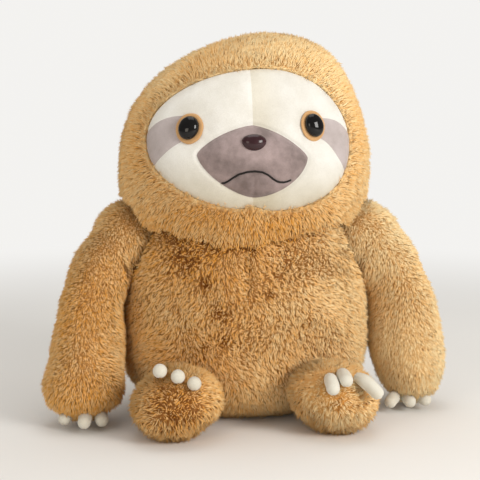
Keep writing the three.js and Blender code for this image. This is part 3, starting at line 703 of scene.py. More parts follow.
def head_field(co, out, outer):
    """Nap that splays away from the face and falls down the sides and back."""
    away = np.stack([co[:, 0] + 0.003, np.zeros(len(co)), co[:, 2] - 0.430], 1)
    outside = np.maximum(outer, 0)
    near, brim = bell(outside, 0.055) * (co[:, 1] < 0), bell(outside, 0.006)
    swirl = np.stack([waves(co, 0.14, 21), waves(co, 0.18, 22) * 0.4, waves(co, 0.14, 23) * 0.6], 1)
    nap = tangent(unit(away) * near[:, None] * 1.6 + np.array([0, 0.15, -1.0]) * (1 - near)[:, None]
                  + swirl * 0.5, out)
    high, right = smooth_step(0.40, 0.60, co[:, 2]), smooth_step(-0.05, 0.20, co[:, 0])
    chin = smooth_step(0.36, 0.32, co[:, 2]) * near
    return {
        "nap": nap * (0.50 - 0.68 * brim)[:, None],
        "height": 0.94 + 0.04 * brim,
        "mess": 0.22 + 0.30 * brim,
        "gather": 0.24 + 0.35 * brim,
        # painted light and shade: the tone and roots on the right are set for the key lamp's light, and the
        # chin is darker, as painted shade under the head
        "tone": 0.52 + 0.10 * waves(co, 0.13, 24) + 0.16 * high + 0.08 * right + 0.12 * brim
        - 0.22 * chin,
        "ground": 0.5 + 0.4 * brim,
        "low": 0.31 - 0.12 * chin - 0.12 * right + (0.45 + 0.10 * waves(co, 0.03, 25)) * brim,
        "fleck": np.full(len(co), 0.01),
    }


def arm_field(co, out, _outer):
    """A sleek coat, combed down to the hand."""
    swirl = np.stack([waves(co, 0.15, 31), waves(co, 0.2, 32) * 0.4, waves(co, 0.15, 33) * 0.4], 1)
    nap = tangent(np.array([0, -0.1, -1.0]) + swirl * 0.35, out)
    right = smooth_step(0, 0.1, co[:, 0])
    hand, shoulder = smooth_step(0.20, 0.08, co[:, 2]), smooth_step(0.22, 0.31, co[:, 2])
    return {
        "nap": nap * 0.55,
        "height": np.full(len(co), 0.90),
        "mess": np.full(len(co), 0.20),
        "gather": np.full(len(co), 0.2),
        # painted light: the right arm, most of all its hand, is paler and lighter at the root, on the key
        # lamp's side
        "tone": 0.38 + 0.08 * waves(co, 0.10, 34) + 0.34 * right + 0.14 * hand * right + 0.16 * shoulder,
        "ground": np.full(len(co), 0.6),
        "low": 0.15 + 0.09 * right + 0.34 * right * hand,
        "fleck": np.full(len(co), 0.02),
    }


def leg_field(co, out, _outer):
    """Long pile that stands out from the sole and lies down over the foot."""
    sole = smooth_step(0.45, 0.9, -out[:, 1])
    middle = co[:, 0].mean()
    right = float(middle > 0)
    away = np.stack([co[:, 0] - middle, np.zeros(len(co)), co[:, 2] - 0.06], 1)
    swirl = np.stack([waves(co, 0.05, 41), waves(co, 0.1, 42), waves(co, 0.05, 43)], 1)
    over = unit(away) * 0.35 + swirl * 0.8 + np.array([0, 0, -0.35])
    rim = 1 - smooth_step(0.45, 0.75, -out[:, 1])
    down = np.array([0, -0.8, -0.5]) + swirl * 0.5
    nap = tangent(over * sole[:, None] + down * (1 - sole)[:, None], out)
    spot = bell(np.hypot(away[:, 0], away[:, 2]), 0.045) * sole
    spot *= 0.8 + 0.2 * waves(co, 0.03, 45)
    return {
        "nap": nap * (0.50 - 0.22 * sole)[:, None],
        "height": 0.94 + 0.08 * sole,
        "mess": 0.28 + 0.12 * sole,
        "gather": 0.25 + 0.28 * sole,
        # painted light: the right foot is paler and lighter at the root on the key lamp's side, and the rim
        # round each sole, most of all the right one's, takes a deeper orange as painted warm bounce light
        # in its shade
        "tone": 0.48 + 0.08 * waves(co, 0.08, 44) - 0.15 * spot + 0.36 * right
        - (0.08 + 0.26 * right) * rim,
        "ground": 0.4 - 0.3 * spot,
        "low": 0.33 + 0.35 * right - 0.27 * spot + 0.06 * rim,
        "fleck": 0.04 + (0.42 - 0.26 * right) * spot,
    }


BARE_FROM = 4.5  # how many cloth faces deep under another form the coat goes bald
RIM_WIDTH = 0.0032  # how far inside the face's outline strands still grow
LEG_SHADE = 0.4  # how much painted shade a leg takes near the body, as a share of what the other forms take
# Each form: its body, its CAD nodes from the skin inwards, its field and its darts
FORMS = {
    "body_coat": ("torso", ("body_skin", "body_filling"), body_field, BODY_DARTS),
    "head_coat": ("torso", ("head_skin", "head_filling", "face_cream_left", "face_cream_right",
                            "eye_band_left", "eye_band_right"), head_field, ()),
}
for side_name, _ in SIDES:
    for limb, on, limb_field in (("arm", f"arm_{side_name}", arm_field), ("leg", "torso", leg_field)):
        FORMS[f"{limb}_coat_{side_name}"] = (
            on, (f"{limb}_skin_{side_name}", f"{limb}_filling_{side_name}"), limb_field, ())


def brim_depth(co, backing):
    """How the hood's cloth tucks in under the face: a share for each point and the place it takes."""
    outer = np.where(co[:, 1] < -0.04, face_distance(co[:, 0], co[:, 2]), 1.0)
    share = smooth_step(0.022, 0.010, outer)
    depth = backing + 0.0075 * smooth_step(0.0025, -0.005, outer)
    x, z = np.clip(co[:, 0], -0.19, 0.19), np.clip(co[:, 2], 0.30, 0.58)
    return share, head_front(x, z, depth)


def chin_drop(co):
    """How far the hood hangs down over the chest, deepest left of the middle."""
    low = smooth_step(0.36, 0.295, co[:, 2]) * smooth_step(-0.02, -0.09, co[:, 1])
    bumps = 0.0025 * np.sin(co[:, 0] / 0.0085 + 1.0) + 0.002 * np.sin(co[:, 0] / 0.0048)
    return low * (0.020 * bell(co[:, 0] + 0.022, 0.075) + 0.004 + bumps)


def side_swell(co):
    """How far the stuffed body bulges out towards each sleeve."""
    level = smooth_step(0.02, 0.07, co[:, 2]) * smooth_step(0.31, 0.26, co[:, 2])
    return np.sign(co[:, 0]) * 0.0065 * smooth_step(0.10, 0.165, np.abs(co[:, 0])) * level


def sleeve_swell(co, side):
    """How far the inner side of a sleeve swells towards the chest, most under the shoulder."""
    out = side * co[:, 0]
    pit = bell(co[:, 2] - 0.228, 0.032) * smooth_step(0.01, -0.04, co[:, 1])
    pit *= smooth_step(0.240, 0.203, out) * smooth_step(0.180, 0.198, out)
    low, high = (0.05, 0.30) if side > 0 else (0.0, 0.20)
    flank = smooth_step(low, low + 0.06, co[:, 2]) * smooth_step(high, high - 0.05, co[:, 2])
    flank *= smooth_step(0.240, 0.203, out)
    return -side * ((0.014 - 0.003 * side) * pit + 0.005 * flank)


def backing_cloths(coat):
    """The backing cloth of every stuffed form, smooth, lumpy and pressed in under its pile."""
    cloths = {}
    for seed, (name, (_, nodes, _, darts)) in enumerate(FORMS.items()):
        mesh = stuffed_form(nodes, coat.voxel)
        ends = edges_of(mesh)
        outside = smoothed(points_of(mesh), ends, 14)
        outside[:, 2] = np.maximum(outside[:, 2], 0)
        if name == "head_coat":
            outside[:, 2] -= chin_drop(outside)
        if name == "body_coat":
            outside[:, 0] += side_swell(outside)
        if name.startswith("arm"):
            outside[:, 0] += sleeve_swell(outside, -1 if name.endswith("left") else 1)
        move_points(mesh, outside)
        normals = unit(smoothed(normals_of(mesh), ends, 3))
        co = pressed_in(outside, normals, coat.backing)
        if name == "head_coat":
            brim = brim_depth(co, coat.backing)
        lump = waves(outside, 0.11, 60 + seed) * 0.7 + waves(outside, 0.05, 80 + seed) * 0.3
        for start, end, depth, width in darts:
            lump -= depth * MM / coat.lump * bell(near_line(outside, start, end), width * MM)
        lift = smooth_step(0.004, 0.03, outside[:, 2]) * coat.lump
        co += normals * (lump * lift)[:, None]
        if name == "head_coat":
            co[:, 1] = co[:, 1] * (1 - brim[0]) + brim[1] * brim[0]
        move_points(mesh, co)
        cloths[name] = mesh
    return cloths


def add_cloth_map(mesh, tone, low):
    """The backing cloth takes the root end of the coat's map."""
    layer = mesh.uv_layers.new(name=PILE_MAP)
    corners = read(mesh.loops, "vertex_index", 1, np.int32)[:, 0]
    co = points_of(mesh)[corners]
    across = np.clip(tone[corners] * TONE_SPAN, 0.02, 0.98)
    up = np.clip(low[corners] * 0.8 + 0.03 * waves(co, 0.011, 97), 0.005, 0.98)
    layer.data.foreach_set("uv", np.stack([across, up], 1).astype(np.float32).ravel())


def pile_limits(name, co, out, depth):
    """The distance outside the face, the way out of the cloth as the pile takes it, and the room for it.

    Where room is below 0 no strand grows: deep under another form, inside the face, and on the seat."""
    outer, room = np.full(len(co), 1.0), (BARE_FROM - depth) * 0.004
    if name == "head_coat":
        outer = np.where(co[:, 1] < -0.03, face_distance(co[:, 0], co[:, 2]), 1.0)
        room = np.minimum(room, outer + RIM_WIDTH)
        rim = smooth_step(0.016, 0.008, outer)[:, None]
        out = unit(out * (1 - rim) + head_way(co[:, 0], co[:, 2]) * rim)
    return outer, out, np.where((out[:, 2] < -0.9) & (co[:, 2] < 0.004), -1.0, room)


class SLOTH_OT_coat(bpy.types.Operator):
    """Make the shaggy coat of the body, head, arms and legs"""

    bl_idname = "sloth.coat"
    bl_label = "Coat"

    def execute(self, context):
        coat = context.scene.sloth_coat
        cloths = backing_cloths(coat)
        trees = {}
        for name, mesh in cloths.items():
            built = bmesh.new()
            built.from_mesh(mesh)
            trees[name] = bvhtree.BVHTree.FromBMesh(built)
            built.free()
        for index, (name, mesh) in enumerate(cloths.items()):
            body, nodes, field, _ = FORMS[name]
            co, ends = points_of(mesh), edges_of(mesh)
            out = unit(smoothed(normals_of(mesh), ends, 2))
            others = [tree for other, tree in trees.items() if other != name]
            outer, out, room = pile_limits(name, co, out, hidden_depth(co, out, ends, others))
            values = field(co, out, outer)
            # painted shade where the forms meet: near another form the roots, the backing cloth and the
            # tone are darker
            unshaded = 1 - closeness(co, others) * (LEG_SHADE if name.startswith("leg") else 1.0)
            values["low"] *= unshaded
            values["ground"] *= unshaded
            values["tone"] -= 0.2 * (1 - unshaded)
            add_cloth_map(mesh, values.pop("ground"), values["low"])
            for key, value in (*values.items(), ("out", out), ("room", room)):
                store(mesh, key, value)
            obj = new_object(name, mesh)
            grown(obj, strand_tree(), {
                "Spacing": coat.spacing, "Radius": coat.radius, "Pile": coat.pile,
                "Clumps": coat.clump_spacing, "Seed": coat.seed + 20 * index,
                "Material": coat_material()})
            obj.data.uv_layers[PILE_MAP].active_render = True
            finish_piece(obj, body, "fur", coat_material(), nodes[0], fill=0.85)
        return {"FINISHED"}


class SLOTH_OT_fillings(bpy.types.Operator):
    """Make the loose fibre filling of the body, head, arms and legs"""

    bl_idname = "sloth.fillings"
    bl_label = "Fillings"

    def execute(self, context):
        fibre = woven_material("fibre_filling", (0.86, 0.86, 0.85), 300.0, rough=1.0, contrast=0.12)
        for name, (body, (_, node, *_), _, _) in FORMS.items():
            mesh = stuffed_form([node], context.scene.sloth_coat.voxel * 1.6)
            ends = edges_of(mesh)
            outside = smoothed(points_of(mesh), ends, 6)
            move_points(mesh, outside)
            inner = outside - normals_of(mesh) * 0.004
            inner[:, 2] = np.maximum(inner[:, 2], 0.004)
            move_points(mesh, inner)
            mesh.polygons.foreach_set("use_smooth", [True] * len(mesh.polygons))
            obj = new_object(name.replace("coat", "fibre"), mesh)
            finish_piece(obj, body, "stuffing", fibre, node, fill=0.95)
        return {"FINISHED"}


# ---------------------------------------------------------------- the face

HEAD = {"half_width": 0.206, "front": 0.168, "bottom": 0.262, "widest": 0.392, "top": 0.613,
        "low_power": 3.0, "high_power": 2.12, "plan_power": 2.1, "lean": 0.046, "lean_power": 3.4}
FACE = {"x": -0.003, "z": 0.440, "half_width": 0.158, "up": 0.110, "down": 0.104, "apex": 0.026,
        "chin": 0.020, "up_left": 2.15, "up_right": 1.8, "low": 2.15}
MUZZLE = {"z": 0.418, "half_width": 0.083, "up": 0.046, "down": 0.061, "bulge": 0.013,
          "up_power": 1.4, "low_left": 1.5, "low_right": 1.68, "bulge_power": 2.4, "tilt": 0.03}
BAND_INNER = 0.096  # where the bands begin, out from the middle
# height and drop of each band's top edge, and of its bottom edge
BANDS = {"left": (0.4785, 0.022, 0.444, 0.050), "right": (0.475, 0.026, 0.446, 0.072)}
SEAM_X = FACE["x"]
# how far each eye sits above its CAD ring, and the widths of its ring and dome as it turns aside
EYE_SHIFTS = {"left": -0.002, "right": 0.0023}
RING_WIDTHS = {"left": 0.93, "right": 0.87}
DOME_WIDTHS = {"left": 0.97, "right": 0.91}
# radius and height round the felt ring, in millimetres
RING_PROFILE = [(0, -1.4), (10, -1.4), (20.5, -1.3), (21.6, -0.9), (22.0, -0.1), (21.6, 0.9), (20.4, 1.5),
                (18.5, 1.6), (16.5, 1.3), (14.0, 1.1), (0, 1.1)]
EYE_BACK = 0.0016  # how far the back of an eye's dome stands before its ring's middle
# depth and width of the dents that the seams, the eyes, the mouth and the nose press into the velour
DENTS = {"muzzle": (0.0022, 0.0030), "band": (0.0009, 0.0022), "forehead": (0.0004, 0.0030),
         "chin": (0.0016, 0.0030), "eye": (0.0042, 0.027), "mouth": (0.0026, 0.0036),
         "nose": (0.0020, 0.018)}
NOSE = {"half_width": 0.018, "half_height": 0.012, "rise": 0.0132}
SHANK = 0.003  # radius of the shanks of the eyes and the nose


def head_front(x, z, inset):
    """The front of the head's form, pressed in by an inset."""
    low = z < HEAD["widest"]
    power = np.where(low, HEAD["low_power"], HEAD["high_power"])
    reach = np.where(low, HEAD["widest"] - HEAD["bottom"] - inset, HEAD["top"] - inset - HEAD["widest"])
    share = np.clip(np.abs(z - HEAD["widest"]) / reach, 0, 0.999)
    full = (1 - share ** power) ** (1 / power)
    rise = np.maximum(z - HEAD["widest"], 0) / (HEAD["top"] - HEAD["widest"])
    middle = HEAD["lean"] * rise ** HEAD["lean_power"]
    across = np.clip(np.abs(x - middle) / ((HEAD["half_width"] - inset) * full), 0, 0.9995)
    return -(HEAD["front"] - inset) * full * (1 - across ** HEAD["plan_power"]) ** (1 / HEAD["plan_power"])


def head_way(x, z, inset=0.0085):
    """The way out of the front of the head's form."""
    step = 0.004
    slope_x = (head_front(x + step, z, inset) - head_front(x - step, z, inset)) / (2 * step)
    slope_z = (head_front(x, z + step, inset) - head_front(x, z - step, inset)) / (2 * step)
    return unit(np.stack([slope_x, -np.ones_like(x), slope_z], -1))


def signed_power(value, power):
    return np.sign(value) * np.abs(value) ** power


def face_outline(grow=0.0, count=240):
    angle = np.linspace(0, 2 * np.pi, count, endpoint=False)
    c, s = np.cos(angle), np.sin(angle)
    power = np.where(s < 0, FACE["low"], np.where(c < 0, FACE["up_left"], FACE["up_right"]))
    rise, across = signed_power(s, 2 / power), signed_power(c, 2 / power)
    hang = np.where(s > 0, FACE["apex"], FACE["chin"]) * rise ** 2
    x = FACE["x"] + across * (FACE["half_width"] + grow) + hang
    z = FACE["z"] + rise * (np.where(s < 0, FACE["down"], FACE["up"]) + grow)
    # the chin seam is drawn in where it meets the hood
    z += np.where(s < 0, 0.007 * bell(x - SEAM_X, 0.016), 0)
    return np.stack([x, z], 1)


def outline_height(x, upper):
    """How high the face's outline stands over x, on its upper or its lower side."""
    outline = face_outline(count=960)
    half = outline[(outline[:, 1] > FACE["z"]) == upper]
    half = half[np.argsort(half[:, 0])]
    return float(np.interp(x, half[:, 0], half[:, 1]))


def muzzle_outline(count=200):
    angle = np.linspace(0, 2 * np.pi, count, endpoint=False)
    c, s = np.cos(angle), np.sin(angle)
    low = np.where(c < 0, MUZZLE["low_left"], MUZZLE["low_right"])
    power = np.where(s < 0, low, MUZZLE["up_power"])
    across = signed_power(c, 2 / power) * MUZZLE["half_width"]
    z = MUZZLE["z"] + signed_power(s, 2 / power) * np.where(s < 0, MUZZLE["down"], MUZZLE["up"])
    return np.stack([SEAM_X + across, z - MUZZLE["tilt"] * across], 1)


def band_edges(name, side):
    share = np.linspace(0, 1.15, 40)
    x = side * (BAND_INNER + share * (FACE["half_width"] - BAND_INNER))
    top, top_drop, bottom, bottom_drop = BANDS[name]
    return (np.stack([x, top - top_drop * share ** 2.8], 1),
            np.stack([x, bottom - bottom_drop * share ** 1.5], 1))


def muzzle_share(x, z):
    z = z + MUZZLE["tilt"] * (x - SEAM_X)
    up = z > MUZZLE["z"]
    low = np.where(x < SEAM_X, MUZZLE["low_left"], MUZZLE["low_right"])
    power = np.where(up, MUZZLE["up_power"], low)
    across = np.abs(x - SEAM_X) / MUZZLE["half_width"]
    rise = np.abs(z - MUZZLE["z"]) / np.where(up, MUZZLE["up"], MUZZLE["down"])
    return (across ** power + rise ** power) ** (1 / power)


def in_outline(x, z, outline):
    inside = np.zeros(len(x), bool)
    ends = np.roll(outline, -1, axis=0)
    for (x0, z0), (x1, z1) in zip(outline, ends):
        if z0 != z1:
            crosses = ((z0 > z) != (z1 > z)) & (x < (x1 - x0) * (z - z0) / (z1 - z0) + x0)
            inside ^= crosses
    return inside


def line_distance(x, z, line, closed=False):
    """How far each point of the XZ plane lies from a line of points."""
    ends = np.roll(line, -1, axis=0) if closed else line[1:]
    starts = line if closed else line[:-1]
    best = np.full(len(x), FAR_OFF)
    for (x0, z0), (x1, z1) in zip(starts, ends):
        dx, dz = x1 - x0, z1 - z0
        t = np.clip(((x - x0) * dx + (z - z0) * dz) / max(dx * dx + dz * dz, 1e-12), 0, 1)
        best = np.minimum(best, np.hypot(x - x0 - t * dx, z - z0 - t * dz))
    return best


def face_distance(x, z):
    """Distance outside the face's outline, negative inside it."""
    outline = face_outline()
    far = line_distance(x, z, outline, closed=True)
    return np.where(in_outline(x, z, outline), -far, far)


def seat_of(node):
    """Middle and outward way of a flat round CAD node, from its points."""
    co = np.unique(np.round(points_of(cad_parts[node].data), 6), axis=0)
    middle = co.mean(0)
    way = np.linalg.svd(co - middle)[2][-1]
    if way[1] > 0:
        way = -way
    return middle, way


def eye_seat(name):
    """Where an eye sits: the left one a little lower than its CAD ring, the right one higher."""
    middle, way = seat_of(f"eye_ring_{name}")
    level = unit(np.array([0, 0, 1.0]) - way * way[2])
    return middle + level * EYE_SHIFTS[name], way


def mouth_line(count=60):
    """The stitched mouth over the XZ plane: high in the middle, with ends that level out."""
    corners = np.array([(-48.5, 378.9), (-44.8, 379.3), (-39.8, 382.0), (-32.8, 387.2), (-24.5, 392.2),
                        (-13, 395.6), (-1.5, 396.6), (9, 395.2), (17.2, 391.2), (24.5, 385.3),
                        (30.8, 381.6), (36, 380.2), (41.3, 380.0), (47, 380.9), (51.5, 382.6)]) * MM
    way = np.concatenate([[0], np.cumsum(np.linalg.norm(np.diff(corners, axis=0), axis=1))])
    at = np.linspace(0, way[-1], count)
    return np.stack([np.interp(at, way, corners[:, k]) for k in (0, 1)], 1)


def dent(name, far):
    """How deep the velour is pressed in at this distance from what presses it."""
    depth, width = DENTS[name]
    return depth * bell(far, width)


class FaceCloth:
    """The velour of the face as a surface over the XZ plane, with its seams, dents and padding."""

    def __init__(self, face):
        self.inset = face.recess
        self.outline = face_outline()
        self.muzzle = muzzle_outline()
        self.bands = [edge for name, side in SIDES for edge in band_edges(name, side)]
        self.mouth = mouth_line()
        self.eyes = [eye_seat(name)[0] for name, _ in SIDES]
        self.nose = seat_of("nose_washer")[0]

    def swell(self, x, z):
        """How far the cloth stands out from the plain form of the head."""
        rim = line_distance(x, z, self.outline, closed=True)
        edge = np.clip(1 - rim / 0.016, 0, 1)
        d = -0.0026 * edge ** 2.2 + 0.0022 * smooth_step(0.0, 0.04, rim)
        share = muzzle_share(x, z)
        bulge = MUZZLE["bulge"] * (1 - np.minimum(share, 1) ** MUZZLE["bulge_power"])
        d = d + np.where(share < 1, bulge, 0)
        d -= dent("muzzle", line_distance(x, z, self.muzzle, closed=True))
        for band in self.bands:
            d -= dent("band", line_distance(x, z, band))
        forehead = (share > 1) & (z > MUZZLE["z"])
        chin = (share <= 1) & (z < 0.392)
        d -= np.where(forehead, dent("forehead", x - SEAM_X), 0)
        d -= np.where(chin, dent("chin", x - SEAM_X) * smooth_step(0.394, 0.380, z), 0)
        for eye, (_, side) in zip(self.eyes, SIDES):
            across, rise = x - eye[0], z - eye[2]
            far = np.hypot(across, rise)
            d -= dent("eye", far)
            # small creases that run out from the inner side of each eye
            angle = np.arctan2(rise, -side * across)
            near = bell(far - 0.026, 0.008) * bell(angle, 1.1)
            d -= 0.0011 * near * (0.5 + 0.5 * np.cos(angle * 9 + 0.6))
        d -= dent("mouth", line_distance(x, z, self.mouth)) * (share < 1)
        # the lower lip
        d += 0.0010 * bell(z - 0.375, 0.012) * bell(x - SEAM_X, 0.03) * (share < 0.95)
        d -= dent("nose", np.hypot(x - self.nose[0], z - self.nose[2] - 0.001))
        d += 0.0008 * waves(np.stack([x, x * 0, z], 1), 0.07, 51) * smooth_step(0.0, 0.02, rim)
        return d

    def at(self, x, z, out=0.0):
        """Points on the cloth, or the given distance out from it."""
        x, z = np.asarray(x, float), np.asarray(z, float)
        base = np.stack([x, head_front(x, z, self.inset), z], -1)
        return base + head_way(x, z, self.inset) * (self.swell(x, z) + out)[..., None]


def cut_lines(cloth, grid):
    """Points and edges of the seam lines, and a grid of points that keeps clear of them."""
    high, low = outline_height(SEAM_X, True) - 0.0012, outline_height(SEAM_X, False) + 0.0012
    seam = np.stack([np.full(60, SEAM_X), np.linspace(FACE["z"] + 0.02, high, 60)], 1)
    chin = np.stack([np.full(40, SEAM_X), np.linspace(low, MUZZLE["z"] - MUZZLE["down"], 40)], 1)
    lines = [(cloth.outline, True), (cloth.muzzle, True), (seam, False), (chin, False)]
    lines += [(band, False) for band in cloth.bands]
    points, edges = [], []
    for line, closed in lines:
        start = len(points)
        points += [tuple(p) for p in line]
        edges += [(start + k, start + k + 1) for k in range(len(line) - 1)]
        if closed:
            edges.append((start + len(line) - 1, start))
    xs = np.arange(-0.17, 0.17, grid)
    zs = np.arange(0.32, 0.56, grid * 0.866)
    x, z = np.meshgrid(xs, zs)
    x = x + (np.arange(len(zs)) % 2)[:, None] * grid / 2
    x, z = x.ravel(), z.ravel()
    clear = np.full(len(x), FAR_OFF)
    for line, closed in lines:
        clear = np.minimum(clear, line_distance(x, z, line, closed))
    keep = (clear > grid * 0.45) & in_outline(x, z, cloth.outline)
    points += list(zip(x[keep], z[keep]))
    return points, edges


def face_regions(x, z, cloth):
    """Which piece of the face each point lies in, and None outside it."""
    region = np.where(x < SEAM_X, "face_cream_left", "face_cream_right").astype(object)
    for name, side in SIDES:
        top, bottom = band_edges(name, side)
        ahead = side * x
        order = np.argsort(side * top[:, 0])
        high = np.interp(ahead, side * top[order, 0], top[order, 1])
        low = np.interp(ahead, side * bottom[order, 0], bottom[order, 1])
        region[(ahead > BAND_INNER) & (z < high) & (z > low)] = f"eye_band_{name}"
    region[muzzle_share(x, z) < 1] = "muzzle"
    region[~in_outline(x, z, cloth.outline)] = None
    return region


class SLOTH_OT_face(bpy.types.Operator):
    """Make the pieced velour face: two cream halves, two grey bands and the muzzle"""

    bl_idname = "sloth.face"
    bl_label = "Face"

    def execute(self, context):
        face = context.scene.sloth_face
        cloth = FaceCloth(face)
        points, edges = cut_lines(cloth, face.grid)
        spread, _, faces, *_ = delaunay_2d_cdt([Vector(p) for p in points], edges, [], 0, 1e-6)
        spread = np.array([tuple(p) for p in spread])
        faces = np.array([tuple(f) for f in faces])
        middles = spread[faces].mean(1)
        regions = face_regions(middles[:, 0], middles[:, 1], cloth)
        first, second = (spread[faces[:, k]] - spread[faces[:, 0]] for k in (1, 2))
        turned = (first[:, 0] * second[:, 1] - first[:, 1] * second[:, 0]) < 0
        faces[turned] = faces[turned][:, ::-1]
        surface = cloth.at(spread[:, 0], spread[:, 1])
        whole = mesh_from("whole_face", surface, faces)
        outward = normals_of(whole)
        bpy.data.meshes.remove(whole)
        cream = np.array(face.cream)
        # painted shade and warm bounce light from the fur: the share of the cream that shows at the bottom
        # of each half, darker and yellower towards the chin
        chin = (0.78, 0.735, 0.64)
        band = velour_material("band_velour", face.band, 0.5, 0.12)
        finishes = {
            # painted light: the left half is a lighter copy of the cream and the right a darker one, for
            # how differently their nap catches the light; near the seam the right half takes more painted
            # shade
            "face_cream_left": velour_material("cream_velour_left", cream * 1.035, 0.3, 0.06,
                                               ("Z", 0.345, chin, 0.43)),
            "face_cream_right": velour_material("cream_velour_right", cream * 0.965, 0.3, 0.06,
                                                ("Z", 0.345, chin, 0.415),
                                                ("X", SEAM_X, (0.955, 0.925, 0.85), 0.058)),
            "eye_band_left": band, "eye_band_right": band,
            # painted shade: the muzzle's grey darker towards its bottom
            "muzzle": velour_material("muzzle_velour", face.grey, 0.5, 0.36,
                                      ("Z", 0.36, (0.84, 0.82, 0.80), 0.465)),
        }
        for region, finish in finishes.items():
            chosen = faces[regions == region]
            used, index = np.unique(chosen, return_inverse=True)
            mesh = mesh_from(f"{region}_velour", surface[used], index.reshape(-1, 3))
            obj = new_object(f"{region}_velour", mesh)
            solid = obj.modifiers.new("Solidify", "SOLIDIFY")
            solid.thickness = face.cloth
            solid.offset = -1
            thick = evaluated_mesh(obj)
            obj.modifiers.clear()
            obj.data = thick
            bpy.data.meshes.remove(mesh)
            # the pieces are shaded as one cloth, so that only the seams' own dents show
            shading = np.concatenate([outward[used], -outward[used]])
            thick.normals_split_custom_set_from_vertices([tuple(n) for n in shading])
            slot = "cream_velour" if region.startswith("face_cream") else "grey_velour"
            finish_piece(obj, "torso", slot, finish, region, fill=0.6)
        return {"FINISHED"}


# ---------------------------------------------------------------- eyes, nose and mouth


def seated(points, middle, way, spin=0.0):
    """Points given about +Z, put at a place with +Z turned to the given way and +Y kept upwards."""
    way = Vector(way).normalized()
    level = (Vector((0, 0, 1)) - way * way.z).normalized()
    side = level.cross(way).normalized()
    turn = Matrix((side, level, way)).transposed() @ Matrix.Rotation(math.radians(spin), 3, "Z")
    return [tuple(Vector(middle) + turn @ Vector(p)) for p in points]


def lathe(profile, sides, width=1.0, height=1.0):
    """A closed round form from radius and height pairs, widened to an oval."""
    rings = []
    for radius, at in profile[1:-1]:
        rings.append([(radius * width * math.cos(2 * math.pi * k / sides),
                       radius * height * math.sin(2 * math.pi * k / sides), at) for k in range(sides)])
    return tube(rings, (0, 0, profile[0][1]), (0, 0, profile[-1][1]))


def dome_profile(base, rise, lip):
    """A domed button: flat back, small rounded rim, full front."""
    steps = 18
    profile = [(0, base), (0.93, base), (0.975, base + lip * 0.2), (1.0, base + lip)]
    for k in range(1, steps):
        angle = math.pi / 2 * k / steps
        profile.append((math.cos(angle) ** 0.88, base + lip + (rise - lip) * math.sin(angle)))
    return profile + [(0, base + rise)]


def button(name, points, faces, ends, middle, way, spin=0.0):
    """A glossy dome with the shank behind it, which runs from one of the ends to the other."""
    back, front = ends
    shank, shank_faces = lathe([(0, back), (SHANK, back), (SHANK, front), (0, front)], 24)
    dome = mesh_from(name, seated(points, middle, way, spin), faces)
    stem = mesh_from("shank", seated(shank, middle, way), shank_faces)
    with edited(dome) as built:
        built.from_mesh(stem)
    bpy.data.meshes.remove(stem)
    return new_object(name, dome)


class SLOTH_OT_eyes(bpy.types.Operator):
    """Make the felt rings and the glossy domes of the eyes"""

    bl_idname = "sloth.eyes"
    bl_label = "Eyes"

    def execute(self, context):
        eyes = context.scene.sloth_eyes
        felt = woven_material("tan_felt", eyes.felt, 1500.0, rough=0.9, contrast=0.22, sheen=0.3)
        black = plastic_material("eye_plastic", (0.006, 0.0055, 0.0055), 0.06, shine=0.35)
        for name, side in SIDES:
            middle, way = eye_seat(name)
            points, faces = lathe(RING_PROFILE, 96)
            ring = np.array(points) * MM
            ring[:, :2] *= eyes.ring / 0.022
            angle = np.arctan2(ring[:, 1], ring[:, 0])
            ring[:, :2] *= (1 + 0.012 * np.sin(angle * 3 + side) + 0.006 * np.sin(angle * 7))[:, None]
            ring[:, 0] *= RING_WIDTHS[name]
            obj = new_object(f"eye_felt_{name}", mesh_from("eye_felt", seated(ring, middle, way), faces))
            finish_piece(obj, "torso", "tan_felt", felt, f"eye_ring_{name}")
            points, faces = lathe(dome_profile(EYE_BACK, eyes.rise, 0.0022), 64,
                                  eyes.width / 2 * DOME_WIDTHS[name], eyes.height / 2)
            obj = button(f"eye_dome_{name}", points, faces, (-0.0225, EYE_BACK), middle, way,
                         side * eyes.tilt)
            finish_piece(obj, "torso", "eye_plastic", black, f"eye_{name}")
        return {"FINISHED"}


class SLOTH_OT_nose(bpy.types.Operator):
    """Make the glossy nose"""

    bl_idname = "sloth.nose"
    bl_label = "Nose"

    def execute(self, context):
        middle, way = seat_of("nose_washer")
        front = float(((points_of(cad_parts["nose"].data) - middle) @ way).max())
        base = front - NOSE["rise"]
        shine = plastic_material("nose_plastic", (0.040, 0.015, 0.018), 0.16, shine=0.4)
        points, faces = lathe(dome_profile(base, NOSE["rise"], 0.003), 64,
                              NOSE["half_width"], NOSE["half_height"])
        shape = np.array(points)
        high = np.clip((shape[:, 2] - base) / NOSE["rise"], 0, 1)
        shape[:, 1] *= 1 + 0.10 * (shape[:, 1] < 0) * (1 - high)
        shape[:, 0] *= 1 + 0.10 * (shape[:, 1] / NOSE["half_height"])
        obj = button("nose_dome", shape, faces, (front - 0.045, base), middle, way)
        finish_piece(obj, "torso", "nose_plastic", shine, "nose")
        return {"FINISHED"}


